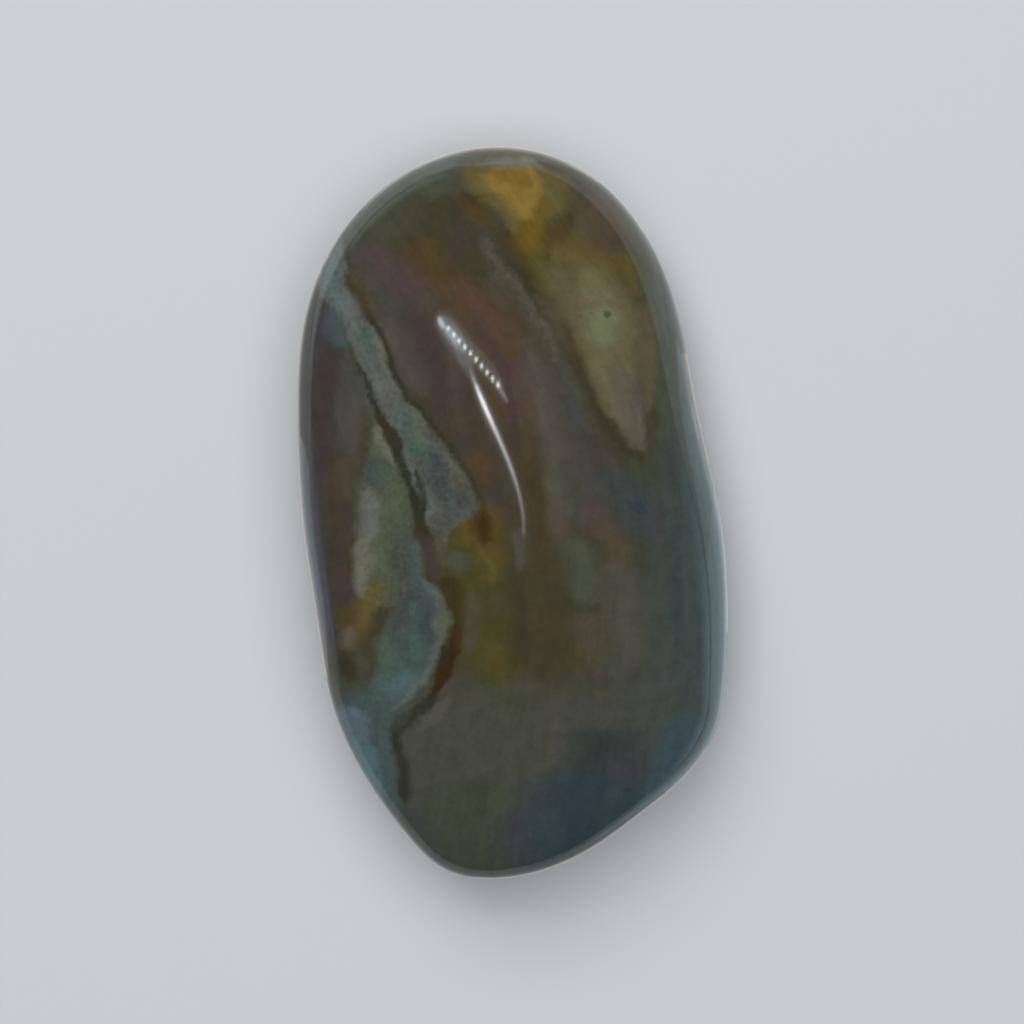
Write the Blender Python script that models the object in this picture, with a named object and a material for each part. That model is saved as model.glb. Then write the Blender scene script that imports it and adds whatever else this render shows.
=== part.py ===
"""Polychrome jasper freeform: one hand-ground, polished stone that lies on a small flat.

The stone lies with its length along Y, its domed face up (+Z), and its resting flat on z = 0.
The origin is under the middle of its outline. Lengths are in millimetres until the last step.
"""

import math

import bmesh
import bpy
import numpy as np

MM = 0.001

# The plan outline, as (bearing in degrees from +X, radius in mm), where the outline turns.
OUTLINE = (
    (36, 33.5),
    (48, 37.9),
    (74, 50.9),
    (80, 53.1),
    (130, 46.0),
    (150, 37.5),
    (180, 31.7),
    (188, 31.5),
    (216, 35.4),
    (228, 40.0),
    (252, 51.1),
    (258, 54.2),
    (268, 55.1),
    (282, 52.3),
    (292, 49.5),
    (314, 44.3),
    (320, 41.4),
    (358, 31.4),
)
CROWN_HALF_WIDTH = 32.5  # the plain ellipse that the level lines turn into near the crown
CROWN_HALF_LENGTH = 55.0
OUTLINE_HOLD = 2.5  # how fast the outline gives way to that ellipse, going inwards

GIRDLE_HEIGHT = 16.3  # where the stone is widest, above the surface that it lies on
GIRDLE_WAVE = 3.6  # the girdle rises and falls this much on its way round
GIRDLE_HIGH_BEARING = 238.0
CROWN_RISE = 14.7  # crown above the girdle
CROWN_FULLNESS = 2.35  # 2 is an ellipse, and more is a fuller shoulder
CROWN_SHIFT = (1.5, 2.0)  # the highest point, from the middle of the outline
BELLY_DROP = 19.2  # belly below the girdle, before the flat is ground
BELLY_FULLNESS = 2.25
GROUND_EDGE = 1.1  # how far the grinding of the flat rounds over into the belly

SWELL = 0.009  # the soft hollows and swells that hand grinding leaves, as a share of the size
SWELL_LONG = (3.4, 2.1, 0.5)  # turns of the first swell across and along the stone, and its start
SWELL_SHORT = (-2.6, 4.3, 1.9)
FACE_STEPS = 5  # subdivisions of the starting icosphere


def outline_radius(bearing):
    """Radius of the plan outline at each bearing, from a closed cubic spline through OUTLINE."""
    knots = np.radians([point[0] for point in OUTLINE])
    radii = np.array([point[1] for point in OUTLINE])
    count = len(knots)
    gaps = np.diff(np.append(knots, knots[0] + math.tau))
    matrix = np.zeros((count, count))
    bends = np.zeros(count)
    for i in range(count):
        after = (i + 1) % count
        matrix[i, i - 1] += gaps[i - 1]
        matrix[i, i] += 2 * (gaps[i - 1] + gaps[i])
        matrix[i, after] += gaps[i]
        bends[i] = 6 * (
            (radii[after] - radii[i]) / gaps[i] - (radii[i] - radii[i - 1]) / gaps[i - 1]
        )
    curvature = np.linalg.solve(matrix, bends)

    turned = np.mod(bearing - knots[0], math.tau) + knots[0]
    start = np.searchsorted(knots, turned, side="right") - 1
    end = (start + 1) % count
    gap = gaps[start]
    far = (turned - knots[start]) / gap
    near = 1 - far
    straight = near * radii[start] + far * radii[end]
    bent = (near**3 - near) * curvature[start] + (far**3 - far) * curvature[end]
    return straight + bent * gap**2 / 6


def soft_floor(height):
    """Height with all below zero ground away, and an edge of GROUND_EDGE rounded over."""
    rounded = (height + GROUND_EDGE) ** 2 / (4 * GROUND_EDGE)
    return np.where(
        height > GROUND_EDGE, height, np.where(height < -GROUND_EDGE, 0.0, rounded)
    )


def stone_points(directions):
    """Points of the stone's surface, in mm, for unit directions from its middle."""
    x, y, z = directions.T
    bearing = np.arctan2(y, x)
    reach = np.hypot(x, y)
    lift = np.abs(z)

    ellipse = 1 / np.hypot(
        np.cos(bearing) / CROWN_HALF_WIDTH, np.sin(bearing) / CROWN_HALF_LENGTH
    )
    outline = outline_radius(bearing)
    radius = reach * (ellipse + (outline - ellipse) * reach**OUTLINE_HOLD)

    swell = sum(
        np.sin(across * x + along * y + start)
        for across, along, start in (SWELL_LONG, SWELL_SHORT)
    )
    radius = radius * (1 + SWELL * swell * lift**2)

    high = math.radians(GIRDLE_HIGH_BEARING)
    girdle = GIRDLE_HEIGHT + GIRDLE_WAVE * np.cos(bearing - high) * reach**3
    crown = girdle + CROWN_RISE * lift ** (2 / CROWN_FULLNESS)
    belly = girdle - BELLY_DROP * lift ** (2 / BELLY_FULLNESS)
    height = np.where(z > 0, crown, belly)

    shift = np.where(z > 0, lift, 0) ** 2
    return np.column_stack(
        (
            radius * np.cos(bearing) + CROWN_SHIFT[0] * shift,
            radius * np.sin(bearing) + CROWN_SHIFT[1] * shift,
            soft_floor(height),
        )
    )


def jasper_material():
    material = bpy.data.materials.new("polished_jasper")
    material.use_nodes = True
    shader = material.node_tree.nodes["Principled BSDF"]
    shader.inputs["Base Color"].default_value = (0.058, 0.052, 0.042, 1.0)
    shader.inputs["Roughness"].default_value = 0.08
    shader.inputs["Metallic"].default_value = 0.0
    return material


def build_stone():
    form = bmesh.new()
    bmesh.ops.create_icosphere(form, subdivisions=FACE_STEPS, radius=1.0)
    directions = np.array([vertex.co.normalized() for vertex in form.verts])
    points = stone_points(directions)
    middle = (points.min(axis=0) + points.max(axis=0)) / 2
    points[:, :2] -= middle[:2]
    for vertex, point in zip(form.verts, points * MM):
        vertex.co = point
    bmesh.ops.recalc_face_normals(form, faces=form.faces)

    mesh = bpy.data.meshes.new("jasper_stone")
    form.to_mesh(mesh)
    form.free()
    mesh.shade_smooth()
    mesh.materials.append(jasper_material())
    stone = bpy.data.objects.new("jasper_stone", mesh)
    bpy.context.scene.collection.objects.link(stone)


def main():
    for obj in list(bpy.data.objects):
        bpy.data.objects.remove(obj, do_unlink=True)
    build_stone()


main()
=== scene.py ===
# %% [markdown]
# # A polished polychrome jasper freeform
#
# The real object is a single lump of jasper, ground by hand to a smooth, flattened oblong and then
# polished until it shines like glass. It has no parts: everything that there is to see is its
# outline, the soft swell of its faces, the coloured mud and silica that set in layers inside it,
# and what the polish mirrors. So this script makes one fine mesh, one careful material, and a plain
# studio round it.

# %% [markdown]
# ## The stone to dress
#
# A plain solid of this stone already exists, packed as the part that others measure and reuse. Its
# box is read first, because the fine stone made here has to fill exactly the same space.

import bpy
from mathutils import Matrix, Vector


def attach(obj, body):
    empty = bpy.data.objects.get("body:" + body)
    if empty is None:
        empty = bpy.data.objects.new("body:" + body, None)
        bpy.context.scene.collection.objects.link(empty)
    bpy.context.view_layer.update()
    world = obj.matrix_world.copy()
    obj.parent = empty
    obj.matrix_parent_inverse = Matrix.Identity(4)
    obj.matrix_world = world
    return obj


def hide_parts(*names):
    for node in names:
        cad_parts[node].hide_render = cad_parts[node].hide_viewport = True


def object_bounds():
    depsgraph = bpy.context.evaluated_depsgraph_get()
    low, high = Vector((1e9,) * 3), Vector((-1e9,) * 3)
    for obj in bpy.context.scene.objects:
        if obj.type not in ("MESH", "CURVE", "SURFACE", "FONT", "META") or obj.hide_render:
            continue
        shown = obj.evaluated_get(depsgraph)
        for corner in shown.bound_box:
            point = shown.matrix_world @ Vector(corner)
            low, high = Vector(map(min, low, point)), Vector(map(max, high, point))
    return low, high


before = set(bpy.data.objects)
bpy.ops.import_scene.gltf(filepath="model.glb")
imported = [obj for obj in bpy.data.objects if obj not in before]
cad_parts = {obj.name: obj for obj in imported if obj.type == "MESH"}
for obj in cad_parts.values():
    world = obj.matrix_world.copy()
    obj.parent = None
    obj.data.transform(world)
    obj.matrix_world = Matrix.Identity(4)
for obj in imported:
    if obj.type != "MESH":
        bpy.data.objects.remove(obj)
cad_low, cad_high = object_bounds()
print("packed stone:", sorted(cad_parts), "from", tuple(cad_low), "to", tuple(cad_high))

# %% Libraries and the unit
import math

import bmesh
import bpy
import numpy as np
from mathutils import Matrix, Vector
from mathutils.bvhtree import BVHTree
from mathutils.interpolate import poly_3d_calc

MM = 0.001  # one millimetre, in metres
print("one millimetre is", MM, "m")

# %% [markdown]
# ## The outline
#
# Seen from above, the stone is an oblong with a few broad corners, where the grinder followed the
# rough lump. It could be traced as a long list of points, but eighteen radii where it turns and a
# smooth closed curve through them hold the same shape, and are easy to change.

# %% The outline's radii
OUTLINE = (  # bearing in degrees from +X, radius in mm
    (36, 33.5),
    (48, 37.9),
    (74, 50.9),
    (80, 53.1),
    (130, 46.0),
    (150, 37.5),
    (180, 31.7),
    (188, 31.5),
    (216, 35.4),
    (228, 40.0),
    (252, 51.1),
    (258, 54.2),
    (268, 55.1),
    (282, 52.3),
    (292, 49.5),
    (314, 44.3),
    (320, 41.4),
    (358, 31.4),
)
print("outline radii:", len(OUTLINE))


# %% A smooth closed curve through the radii
def spline_bends(knots, values):
    """Second derivatives at the knots of the closed cubic curve through them, and the gaps."""
    count = len(knots)
    gaps = np.diff(np.append(knots, knots[0] + math.tau))
    matrix = np.zeros((count, count))
    bends = np.zeros(count)
    for i in range(count):
        after = (i + 1) % count
        matrix[i, i - 1] += gaps[i - 1]
        matrix[i, i] += 2 * (gaps[i - 1] + gaps[i])
        matrix[i, after] += gaps[i]
        slope_after = (values[after] - values[i]) / gaps[i]
        slope_before = (values[i] - values[i - 1]) / gaps[i - 1]
        bends[i] = 6 * (slope_after - slope_before)
    return np.linalg.solve(matrix, bends), gaps


def outline_radius(bearing):
    """Radius of the outline, in mm, at each bearing in radians."""
    knots = np.radians([point[0] for point in OUTLINE])
    radii = np.array([point[1] for point in OUTLINE])
    bends, gaps = spline_bends(knots, radii)
    turned = np.mod(bearing - knots[0], math.tau) + knots[0]
    start = np.searchsorted(knots, turned, side="right") - 1
    end = (start + 1) % len(knots)
    far = (turned - knots[start]) / gaps[start]
    near = 1 - far
    straight = near * radii[start] + far * radii[end]
    bent = (near**3 - near) * bends[start] + (far**3 - far) * bends[end]
    return straight + bent * gaps[start] ** 2 / 6


print("outline radius at the four sides, mm:", outline_radius(np.radians([0, 90, 180, 270])))

# %% [markdown]
# ## The body
#
# From the outline the stone swells to a full, slightly lopsided crown above and a belly below, and
# the belly is ground to a small flat that it lies on. A sphere's directions are turned into points
# of that form with a few formulas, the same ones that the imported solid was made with. The packed
# solid has flat faces, which would break up every reflection, so the same form is sampled again
# with seventeen times as many. The fine stone is then scaled, by a hair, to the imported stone's box.

# %% The crown, the belly and the flat
CROWN_HALF_WIDTH = 32.5  # mm; the plain ellipse that the level lines turn into near the crown
CROWN_HALF_LENGTH = 55.0
OUTLINE_HOLD = 2.5  # how fast the outline gives way to that ellipse, going inwards
GIRDLE_HEIGHT = 16.3  # mm above the flat, where the stone is widest
GIRDLE_WAVE = 3.6  # the girdle rises and falls this much on its way round
GIRDLE_HIGH_BEARING = 238.0  # degrees
CROWN_RISE = 14.7  # crown above the girdle
CROWN_FULLNESS = 2.35  # 2 is an ellipse, and more is a fuller shoulder
CROWN_SHIFT = (1.5, 2.0)  # the highest point, from the middle of the outline
BELLY_DROP = 19.2  # belly below the girdle, before the flat is ground
BELLY_FULLNESS = 2.25
GROUND_EDGE = 1.1  # how far the grinding of the flat rounds over into the belly
SWELL = 0.009  # the soft swells that hand grinding leaves, as a share of the size
SWELL_LONG = (3.4, 2.1, 0.5)  # turns across and along the stone, and where they start
SWELL_SHORT = (-2.6, 4.3, 1.9)
FINE_STEPS = 7  # subdivisions of the starting icosphere: 81,920 faces
print("crown at", GIRDLE_HEIGHT + CROWN_RISE, "mm above the flat")


# %% From a direction to a point of the stone
def soft_floor(height):
    """Height with all below zero ground away, and an edge of GROUND_EDGE rounded over."""
    rounded = (height + GROUND_EDGE) ** 2 / (4 * GROUND_EDGE)
    return np.where(height > GROUND_EDGE, height, np.where(height < -GROUND_EDGE, 0.0, rounded))


def stone_points(directions):
    """Points of the stone's surface, in mm, for unit directions from its middle."""
    x, y, z = directions.T
    bearing = np.arctan2(y, x)
    reach = np.hypot(x, y)
    lift = np.abs(z)
    ellipse = 1 / np.hypot(
        np.cos(bearing) / CROWN_HALF_WIDTH, np.sin(bearing) / CROWN_HALF_LENGTH
    )
    outline = outline_radius(bearing)
    radius = reach * (ellipse + (outline - ellipse) * reach**OUTLINE_HOLD)
    swell = sum(
        np.sin(across * x + along * y + start)
        for across, along, start in (SWELL_LONG, SWELL_SHORT)
    )
    radius = radius * (1 + SWELL * swell * lift**2)
    high = math.radians(GIRDLE_HIGH_BEARING)
    girdle = GIRDLE_HEIGHT + GIRDLE_WAVE * np.cos(bearing - high) * reach**3
    crown = girdle + CROWN_RISE * lift ** (2 / CROWN_FULLNESS)
    belly = girdle - BELLY_DROP * lift ** (2 / BELLY_FULLNESS)
    shift = np.where(z > 0, lift, 0) ** 2
    return np.column_stack(
        (
            radius * np.cos(bearing) + CROWN_SHIFT[0] * shift,
            radius * np.sin(bearing) + CROWN_SHIFT[1] * shift,
            soft_floor(np.where(z > 0, crown, belly)),
        )
    )


# %% Make the fine stone
def make_stone():
    """The fine mesh of the stone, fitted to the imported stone's box."""
    form = bmesh.new()
    bmesh.ops.create_icosphere(form, subdivisions=FINE_STEPS, radius=1.0)
    directions = np.array([vertex.co.normalized() for vertex in form.verts])
    points = stone_points(directions) * MM
    low, high = points.min(axis=0), points.max(axis=0)
    box_low, box_high = np.array(cad_low), np.array(cad_high)
    points = box_low + (points - low) / (high - low) * (box_high - box_low)
    print("fitting the fine stone changed its sides by", (box_high - box_low) / (high - low) - 1)
    for vertex, point in zip(form.verts, points):
        vertex.co = point
    bmesh.ops.recalc_face_normals(form, faces=form.faces)
    mesh = bpy.data.meshes.new("fine_jasper_stone")
    form.to_mesh(mesh)
    form.free()
    mesh.shade_smooth()
    return mesh


stone = bpy.data.objects.new("fine_jasper_stone", make_stone())
bpy.context.scene.collection.objects.link(stone)
print("fine stone:", len(stone.data.polygons), "faces")

# %% [markdown]
# ## Writing a material as sums
#
# Inside, the stone is coloured all the way through, so its material asks one question at each
# point: how many millimetres across, along and up the stone is this? The answer could be wired by
# hand with hundreds of Math nodes. Here one small class wraps a node's socket, and `a * 2 + b` adds
# the nodes, so the sums can be read.

# %% A wire that does sums
class Wire:
    """One output socket of a node tree, with sums that add Math nodes."""

    tree = None  # the node tree that is being built

    def __init__(self, socket):
        self.socket = socket

    @classmethod
    def node(cls, kind, settings=None, sockets=None, output=0):
        """Add a node, make its settings, fill or link its sockets, and wrap one output."""
        made = cls.tree.nodes.new(kind)
        for name, value in (settings or {}).items():
            if name == "curves":
                set_curves(made.mapping, value)
            else:
                setattr(made, name, value)
        for name, value in (sockets or {}).items():
            if isinstance(value, Wire):
                cls.tree.links.new(value.socket, made.inputs[name])
            else:
                made.inputs[name].default_value = value
        return cls(made.outputs[output])

    @classmethod
    def sum(cls, operation, *values):
        """Add a Math node on sockets or plain numbers."""
        return cls.node("ShaderNodeMath", {"operation": operation}, dict(enumerate(values)))

    def __add__(self, other):
        return Wire.sum("ADD", self, other)

    def __sub__(self, other):
        return Wire.sum("SUBTRACT", self, other)

    def __rsub__(self, other):
        return Wire.sum("SUBTRACT", other, self)

    def __mul__(self, other):
        return Wire.sum("MULTIPLY", self, other)

    __radd__ = __add__
    __rmul__ = __mul__


def set_curves(mapping, lines):
    """Draw each line of points as a curve, level beyond both its ends."""
    mapping.use_clip = False
    mapping.extend = "HORIZONTAL"
    for curve, points in zip(mapping.curves, lines):
        for place, point in enumerate(sorted(points)):
            spot = curve.points[place] if place < 2 else curve.points.new(*point)
            spot.location = point
        for spot in curve.points:
            spot.handle_type = "AUTO_CLAMPED"
    mapping.update()


# %% Steps, mixes and vectors
def rise(value, start, end):
    """0 before start and 1 after end, with a smooth step between; start may be the larger."""
    return Wire.node(
        "ShaderNodeMapRange",
        {"interpolation_type": "SMOOTHSTEP"},
        {"Value": value, "From Min": start, "From Max": end},
    )


def mix(share, under, over):
    """A colour between two, by share."""
    # Socket 0 of a Mix node is the share, 6 and 7 are its two colours, and output 2 is the result.
    return Wire.node("ShaderNodeMix", {"data_type": "RGBA"}, {0: share, 6: under, 7: over}, 2)


def vector_sum(operation, *values, output=0):
    """A sum on vectors."""
    sockets = dict(enumerate(values))
    return Wire.node("ShaderNodeVectorMath", {"operation": operation}, sockets, output)


def scaled(vector, factor):
    """A vector or colour times a number."""
    return Wire.node("ShaderNodeVectorMath", {"operation": "SCALE"}, {0: vector, "Scale": factor})


def joined(x, y, z):
    """A vector of three numbers."""
    return Wire.node("ShaderNodeCombineXYZ", None, {"X": x, "Y": y, "Z": z})


def parted(vector):
    """The three numbers of a vector."""
    first = Wire.node("ShaderNodeSeparateXYZ", None, {0: vector})
    return [Wire(socket) for socket in first.socket.node.outputs]


# %% [markdown]
# ## Where a point is in the stone
#
# The colours lie in tilted, gently folded layers. Low on the flanks and under the belly the same
# layers are met further over, so both directions slide with depth there. Nothing in rock is
# ruled, so the place is also pushed about a little, by a slow noise for folds and by a fine one
# for ragged edges.

# %% Across, along and down, in millimetres
LAYERS_DIP_BELOW = 12.5  # mm above the flat
DIP_ACROSS = 0.8  # mm that the layers slide for each mm down
DIP_ALONG = -0.5
FOLD_SIZE = 9.0  # mm
FOLD_PUSH = 1.6
EDGE_SIZE = 3.0
EDGE_PUSH = 2.2
NOISE_MIDDLE = 0.5  # noise runs from 0 to 1, so this much is neither light nor dark

jasper = bpy.data.materials.new("polished_jasper")
jasper.use_nodes = True
Wire.tree = jasper.node_tree
stone.data.materials.append(jasper)


def noise(place, size, detail, roughness=0.5, output="Fac"):
    """Cloudy noise whose largest lumps are of that size, in mm."""
    sockets = {"Vector": place, "Scale": 1 / size, "Detail": detail, "Roughness": roughness}
    return Wire.node("ShaderNodeTexNoise", None, sockets, output)


def push(place, distance, by):
    """The place moved about by a coloured noise, up to about that many mm."""
    centred = vector_sum("SUBTRACT", by, (NOISE_MIDDLE, NOISE_MIDDLE, NOISE_MIDDLE))
    return vector_sum("ADD", place, scaled(centred, distance))


metres = Wire.node("ShaderNodeTexCoord", output="Object")
place = scaled(metres, 1 / MM)
height = parted(place)[2]
dip = Wire.sum("MAXIMUM", LAYERS_DIP_BELOW - height, 0.0)
place = vector_sum("ADD", place, joined(dip * DIP_ACROSS, dip * DIP_ALONG, 0.0))
folds = noise(place, FOLD_SIZE, detail=1.0, output="Color")
folded = push(place, FOLD_PUSH, folds)
rags = noise(folded, EDGE_SIZE, detail=4.0, roughness=0.66, output="Color")
ragged = push(folded, EDGE_PUSH, rags)
across, along, _ = parted(ragged)
print("placing nodes:", len(Wire.tree.nodes))

# %% [markdown]
# ## The flow
#
# The mud moved before it set, from the upper left down through the middle and out at the foot. One
# curve gives that path. Noise that is stretched along it makes long wisps, and the soft clouds of
# colour are measured from a place that those wisps drag about, so the clouds have drawn edges.

# %% Wisps along the flow
FLOW_PATH = (  # mm across and along
    (-24, 58),
    (-18, 48),
    (-11.5, 38),
    (-5.5, 29),
    (-0.5, 19),
    (3, 8),
    (4.8, -3),
    (5, -15),
    (4, -28),
    (2, -42),
    (0, -58),
)
WISP_WIDTH = 1.3  # mm
WISP_LENGTH = 12.0
WISP_DRAG = 1.6  # mm that a cloud's edge is dragged
folded_across, folded_along, _ = parted(folded)
flow = Wire.node(
    "ShaderNodeFloatCurve",
    {"curves": [[(at, to) for to, at in FLOW_PATH]]},
    {"Value": folded_along},
)
wisp_place = joined(
    (folded_across - flow) * (1 / WISP_WIDTH),
    folded_along * (1 / WISP_LENGTH),
    height * (1 / WISP_LENGTH),
)
wisps = noise(wisp_place, size=1.0, detail=3.0, roughness=0.6)
drift = (wisps - NOISE_MIDDLE) * WISP_DRAG
dragged = across + drift
clouds = (joined(dragged, dragged, dragged), joined(along, along, along))
seams = (joined(across, across, across), clouds[1])
print("placing nodes with the flow:", len(Wire.tree.nodes))

# %% [markdown]
# ## The colours
#
# Polychrome jasper gets its colours from a few things in the silica: iron rust for the yellows,
# browns and brick reds, manganese for the mauves, and chlorite and celadonite for the greens and
# teals. Each colour has a name here, and every marking uses one of them, as a painter would use
# tubes. All are dark, as polished stone is, and all lighten or darken together with one number.

# %% The tubes of colour
COLOUR_DEPTH = 1.15
COLOURS = {  # linear red, green and blue
    "orange": (0.198, 0.118, 0.022),
    "yellow": (0.226, 0.152, 0.034),
    "amber": (0.138, 0.092, 0.012),
    "bronze": (0.122, 0.098, 0.033),
    "honey": (0.140, 0.110, 0.036),
    "dull gold": (0.064, 0.058, 0.016),
    "gold": (0.094, 0.070, 0.014),
    "olive yellow": (0.098, 0.080, 0.018),
    "ochre": (0.070, 0.054, 0.018),
    "rust": (0.080, 0.050, 0.016),
    "umber": (0.060, 0.045, 0.020),
    "dark umber": (0.038, 0.029, 0.013),
    "red brown": (0.038, 0.021, 0.005),
    "brick": (0.098, 0.050, 0.034),
    "rose": (0.080, 0.057, 0.047),
    "mauve": (0.084, 0.056, 0.055),
    "maroon": (0.055, 0.040, 0.037),
    "taupe": (0.088, 0.074, 0.059),
    "tan": (0.084, 0.068, 0.045),
    "brown": (0.090, 0.066, 0.038),
    "fawn": (0.116, 0.095, 0.048),
    "beige": (0.118, 0.102, 0.070),
    "khaki": (0.148, 0.130, 0.062),
    "straw": (0.120, 0.100, 0.047),
    "lime": (0.160, 0.172, 0.085),
    "cream": (0.158, 0.152, 0.112),
    "olive": (0.053, 0.046, 0.022),
    "moss": (0.052, 0.060, 0.034),
    "grey olive": (0.064, 0.064, 0.045),
    "grey": (0.063, 0.060, 0.052),
    "sage": (0.072, 0.080, 0.054),
    "green": (0.088, 0.110, 0.064),
    "teal green": (0.063, 0.102, 0.078),
    "teal": (0.058, 0.084, 0.078),
    "sea": (0.088, 0.158, 0.166),
    "sky": (0.102, 0.146, 0.170),
    "ash": (0.094, 0.090, 0.074),
    "milk": (0.134, 0.140, 0.120),
    "pale teal": (0.108, 0.119, 0.104),
    "grey teal": (0.056, 0.071, 0.064),
    "slate": (0.052, 0.059, 0.058),
    "steel": (0.068, 0.086, 0.092),
    "blue slate": (0.032, 0.048, 0.056),
    "plum slate": (0.054, 0.052, 0.058),
    "petrol": (0.044, 0.080, 0.094),
    "deep teal": (0.042, 0.061, 0.061),
    "deep slate": (0.030, 0.037, 0.034),
    "dark line": (0.027, 0.029, 0.019),
    "moss dark": (0.040, 0.050, 0.022),
}


def tube(name):
    """A named colour, at the stone's depth, as a socket takes it."""
    return tuple(COLOUR_DEPTH * part for part in COLOURS[name]) + (1,)


print("colours:", len(COLOURS))

# %% [markdown]
# ## How a marking is laid
#
# Every marking in the stone, from a broad cloud to a hair-thin vein, is a streak: a middle line
# with a width that swells and tapers. So a marking is a colour, a softness, a strength, and points
# of (across, along, half width) in millimetres down its length. One curve through the points gives
# the middle at every place along the stone, and another gives the half width. A marking that lies
# crosswise swaps the two directions. A vector has three parts and a Vector Curves node has three
# curves, so three markings share each sum, which keeps the material small. Each marking is then
# mixed over the coat under it, as paint is.

# %% The curves of a streak
def streak_curves(markings, crosswise):
    """Middle lines, half widths and edges in mm, for each of up to three markings."""
    middles, halves, edges = [], [], []
    for _, soft, _, points in markings:
        edge = soft * max(half for *_, half in points)  # over which the streak fades, each way
        runs = [(x, y) if crosswise else (y, x) for x, y, _ in points]
        middles.append(runs)
        widths = [half if half > 0 else -edge for *_, half in points]
        halves.append([(at, width) for (at, _), width in zip(runs, widths)])
        edges.append(edge)
    return middles, halves, edges


# %% How much of each marking a point has
PICKS = ((1, 0, 0), (0, 1, 0), (0, 0, 1))  # each picks one number out of three


def streaks(markings, where, crosswise=False):
    """How much a point belongs to each of up to three markings, from 0 to its strength."""
    side, run = where[::-1] if crosswise else where
    middles, halves, edges = streak_curves(markings, crosswise)
    spare = len(PICKS) - len(markings)
    edges = np.array(edges + [1.0] * spare)
    strengths = [strength for _, _, strength, _ in markings] + [0.0] * spare
    middle = Wire.node("ShaderNodeVectorCurve", {"curves": middles}, {"Vector": run})
    half_width = Wire.node("ShaderNodeVectorCurve", {"curves": halves}, {"Vector": run})
    aside = vector_sum("ABSOLUTE", vector_sum("SUBTRACT", side, middle))
    inside = vector_sum("SUBTRACT", half_width, aside)
    # Sockets 6 to 10 are the vectors that a Map Range node runs from, and then the ones it runs to.
    shares = Wire.node(
        "ShaderNodeMapRange",
        {"data_type": "FLOAT_VECTOR", "interpolation_type": "SMOOTHSTEP"},
        {6: inside, 7: tuple(-edges), 8: tuple(edges), 9: (0, 0, 0), 10: tuple(strengths)},
        1,
    )
    picks = PICKS[: len(markings)]
    return [vector_sum("DOT_PRODUCT", shares, pick, output="Value") for pick in picks]


# %% Lay a coat of markings
def lay(coat, markings, where=clouds, crosswise=False):
    """Lay markings of (colour, softness, strength, points) over a coat."""
    for first in range(0, len(markings), len(PICKS)):
        three = markings[first : first + len(PICKS)]
        for share, (colour, *_) in zip(streaks(three, where, crosswise), three):
            coat = mix(share, coat, tube(colour))
    print("laid", len(markings), "markings:", ", ".join(sorted({row[0] for row in markings})))
    return coat


# %% [markdown]
# ## The ground
#
# Most of the stone is a quiet olive brown. It greys towards the foot, turns to blue slate at the
# lower right, and to a grey teal all down the right flank.

# %% The ground colours
FOOT_GREYS = (-20.0, -30.0)  # mm along, where the olive starts to grey and where it has greyed
coat = mix(rise(along, *FOOT_GREYS), tube("olive"), tube("grey olive"))
GROUND = (
    ("grey teal", 0.75, 0.95, (
        (22, 42, 0), (25, 30, 3), (27, 20, 5), (28, 5, 7.5), (28, -10, 8.5), (27, -25, 8.5),
        (24, -36, 6), (17, -45, 3), (12, -50, 0),
    )),
    ("moss", 1.0, 0.8, ((-5, -38, 0), (-5, -43, 6), (-4, -48, 6), (-3.4, -53, 4.4), (-3, -56, 3))),
    ("slate", 0.75, 0.9, (
        (12, -30, 0), (15, -34, 5), (14, -38, 7), (10, -42, 8), (8, -46, 9), (5, -51, 7),
        (4, -55, 4),
    )),
    ("blue slate", 0.75, 0.9, (
        (9, -36.5, 0), (10, -39, 5), (11, -42, 8), (9, -46, 7), (7, -50, 5), (6, -54, 2),
    )),
    ("plum slate", 1.0, 0.8, ((16, -35.5, 0), (16.3, -38.5, 2.6), (16, -41, 0))),
    ("deep teal", 1.0, 0.8, ((15, -39.5, 0), (15, -43, 1.6), (14.5, -47, 1.5), (13, -50, 0))),
    ("plum slate", 1.0, 0.7, ((1, -42, 0), (1, -45, 1.5), (1, -49, 1.5), (1, -52, 0))),
    ("deep teal", 1.0, 0.8, ((4.5, -42.5, 0), (4.5, -45, 2.2), (4.5, -49, 2.6), (3.5, -53, 0))),
    ("slate", 1.0, 0.6, (
        (-15, -42.5, 0), (-14, -45, 1.8), (-13, -49, 1.8), (-11, -52, 1.4), (-9, -54.5, 0),
    )),
)
coat = lay(coat, GROUND)

# %% [markdown]
# ## The upper field
#
# Above the middle, olive, grey and mauve clouds lean down to the right, the way that the mud once
# flowed. They are broad and soft, so they go on first.

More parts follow.
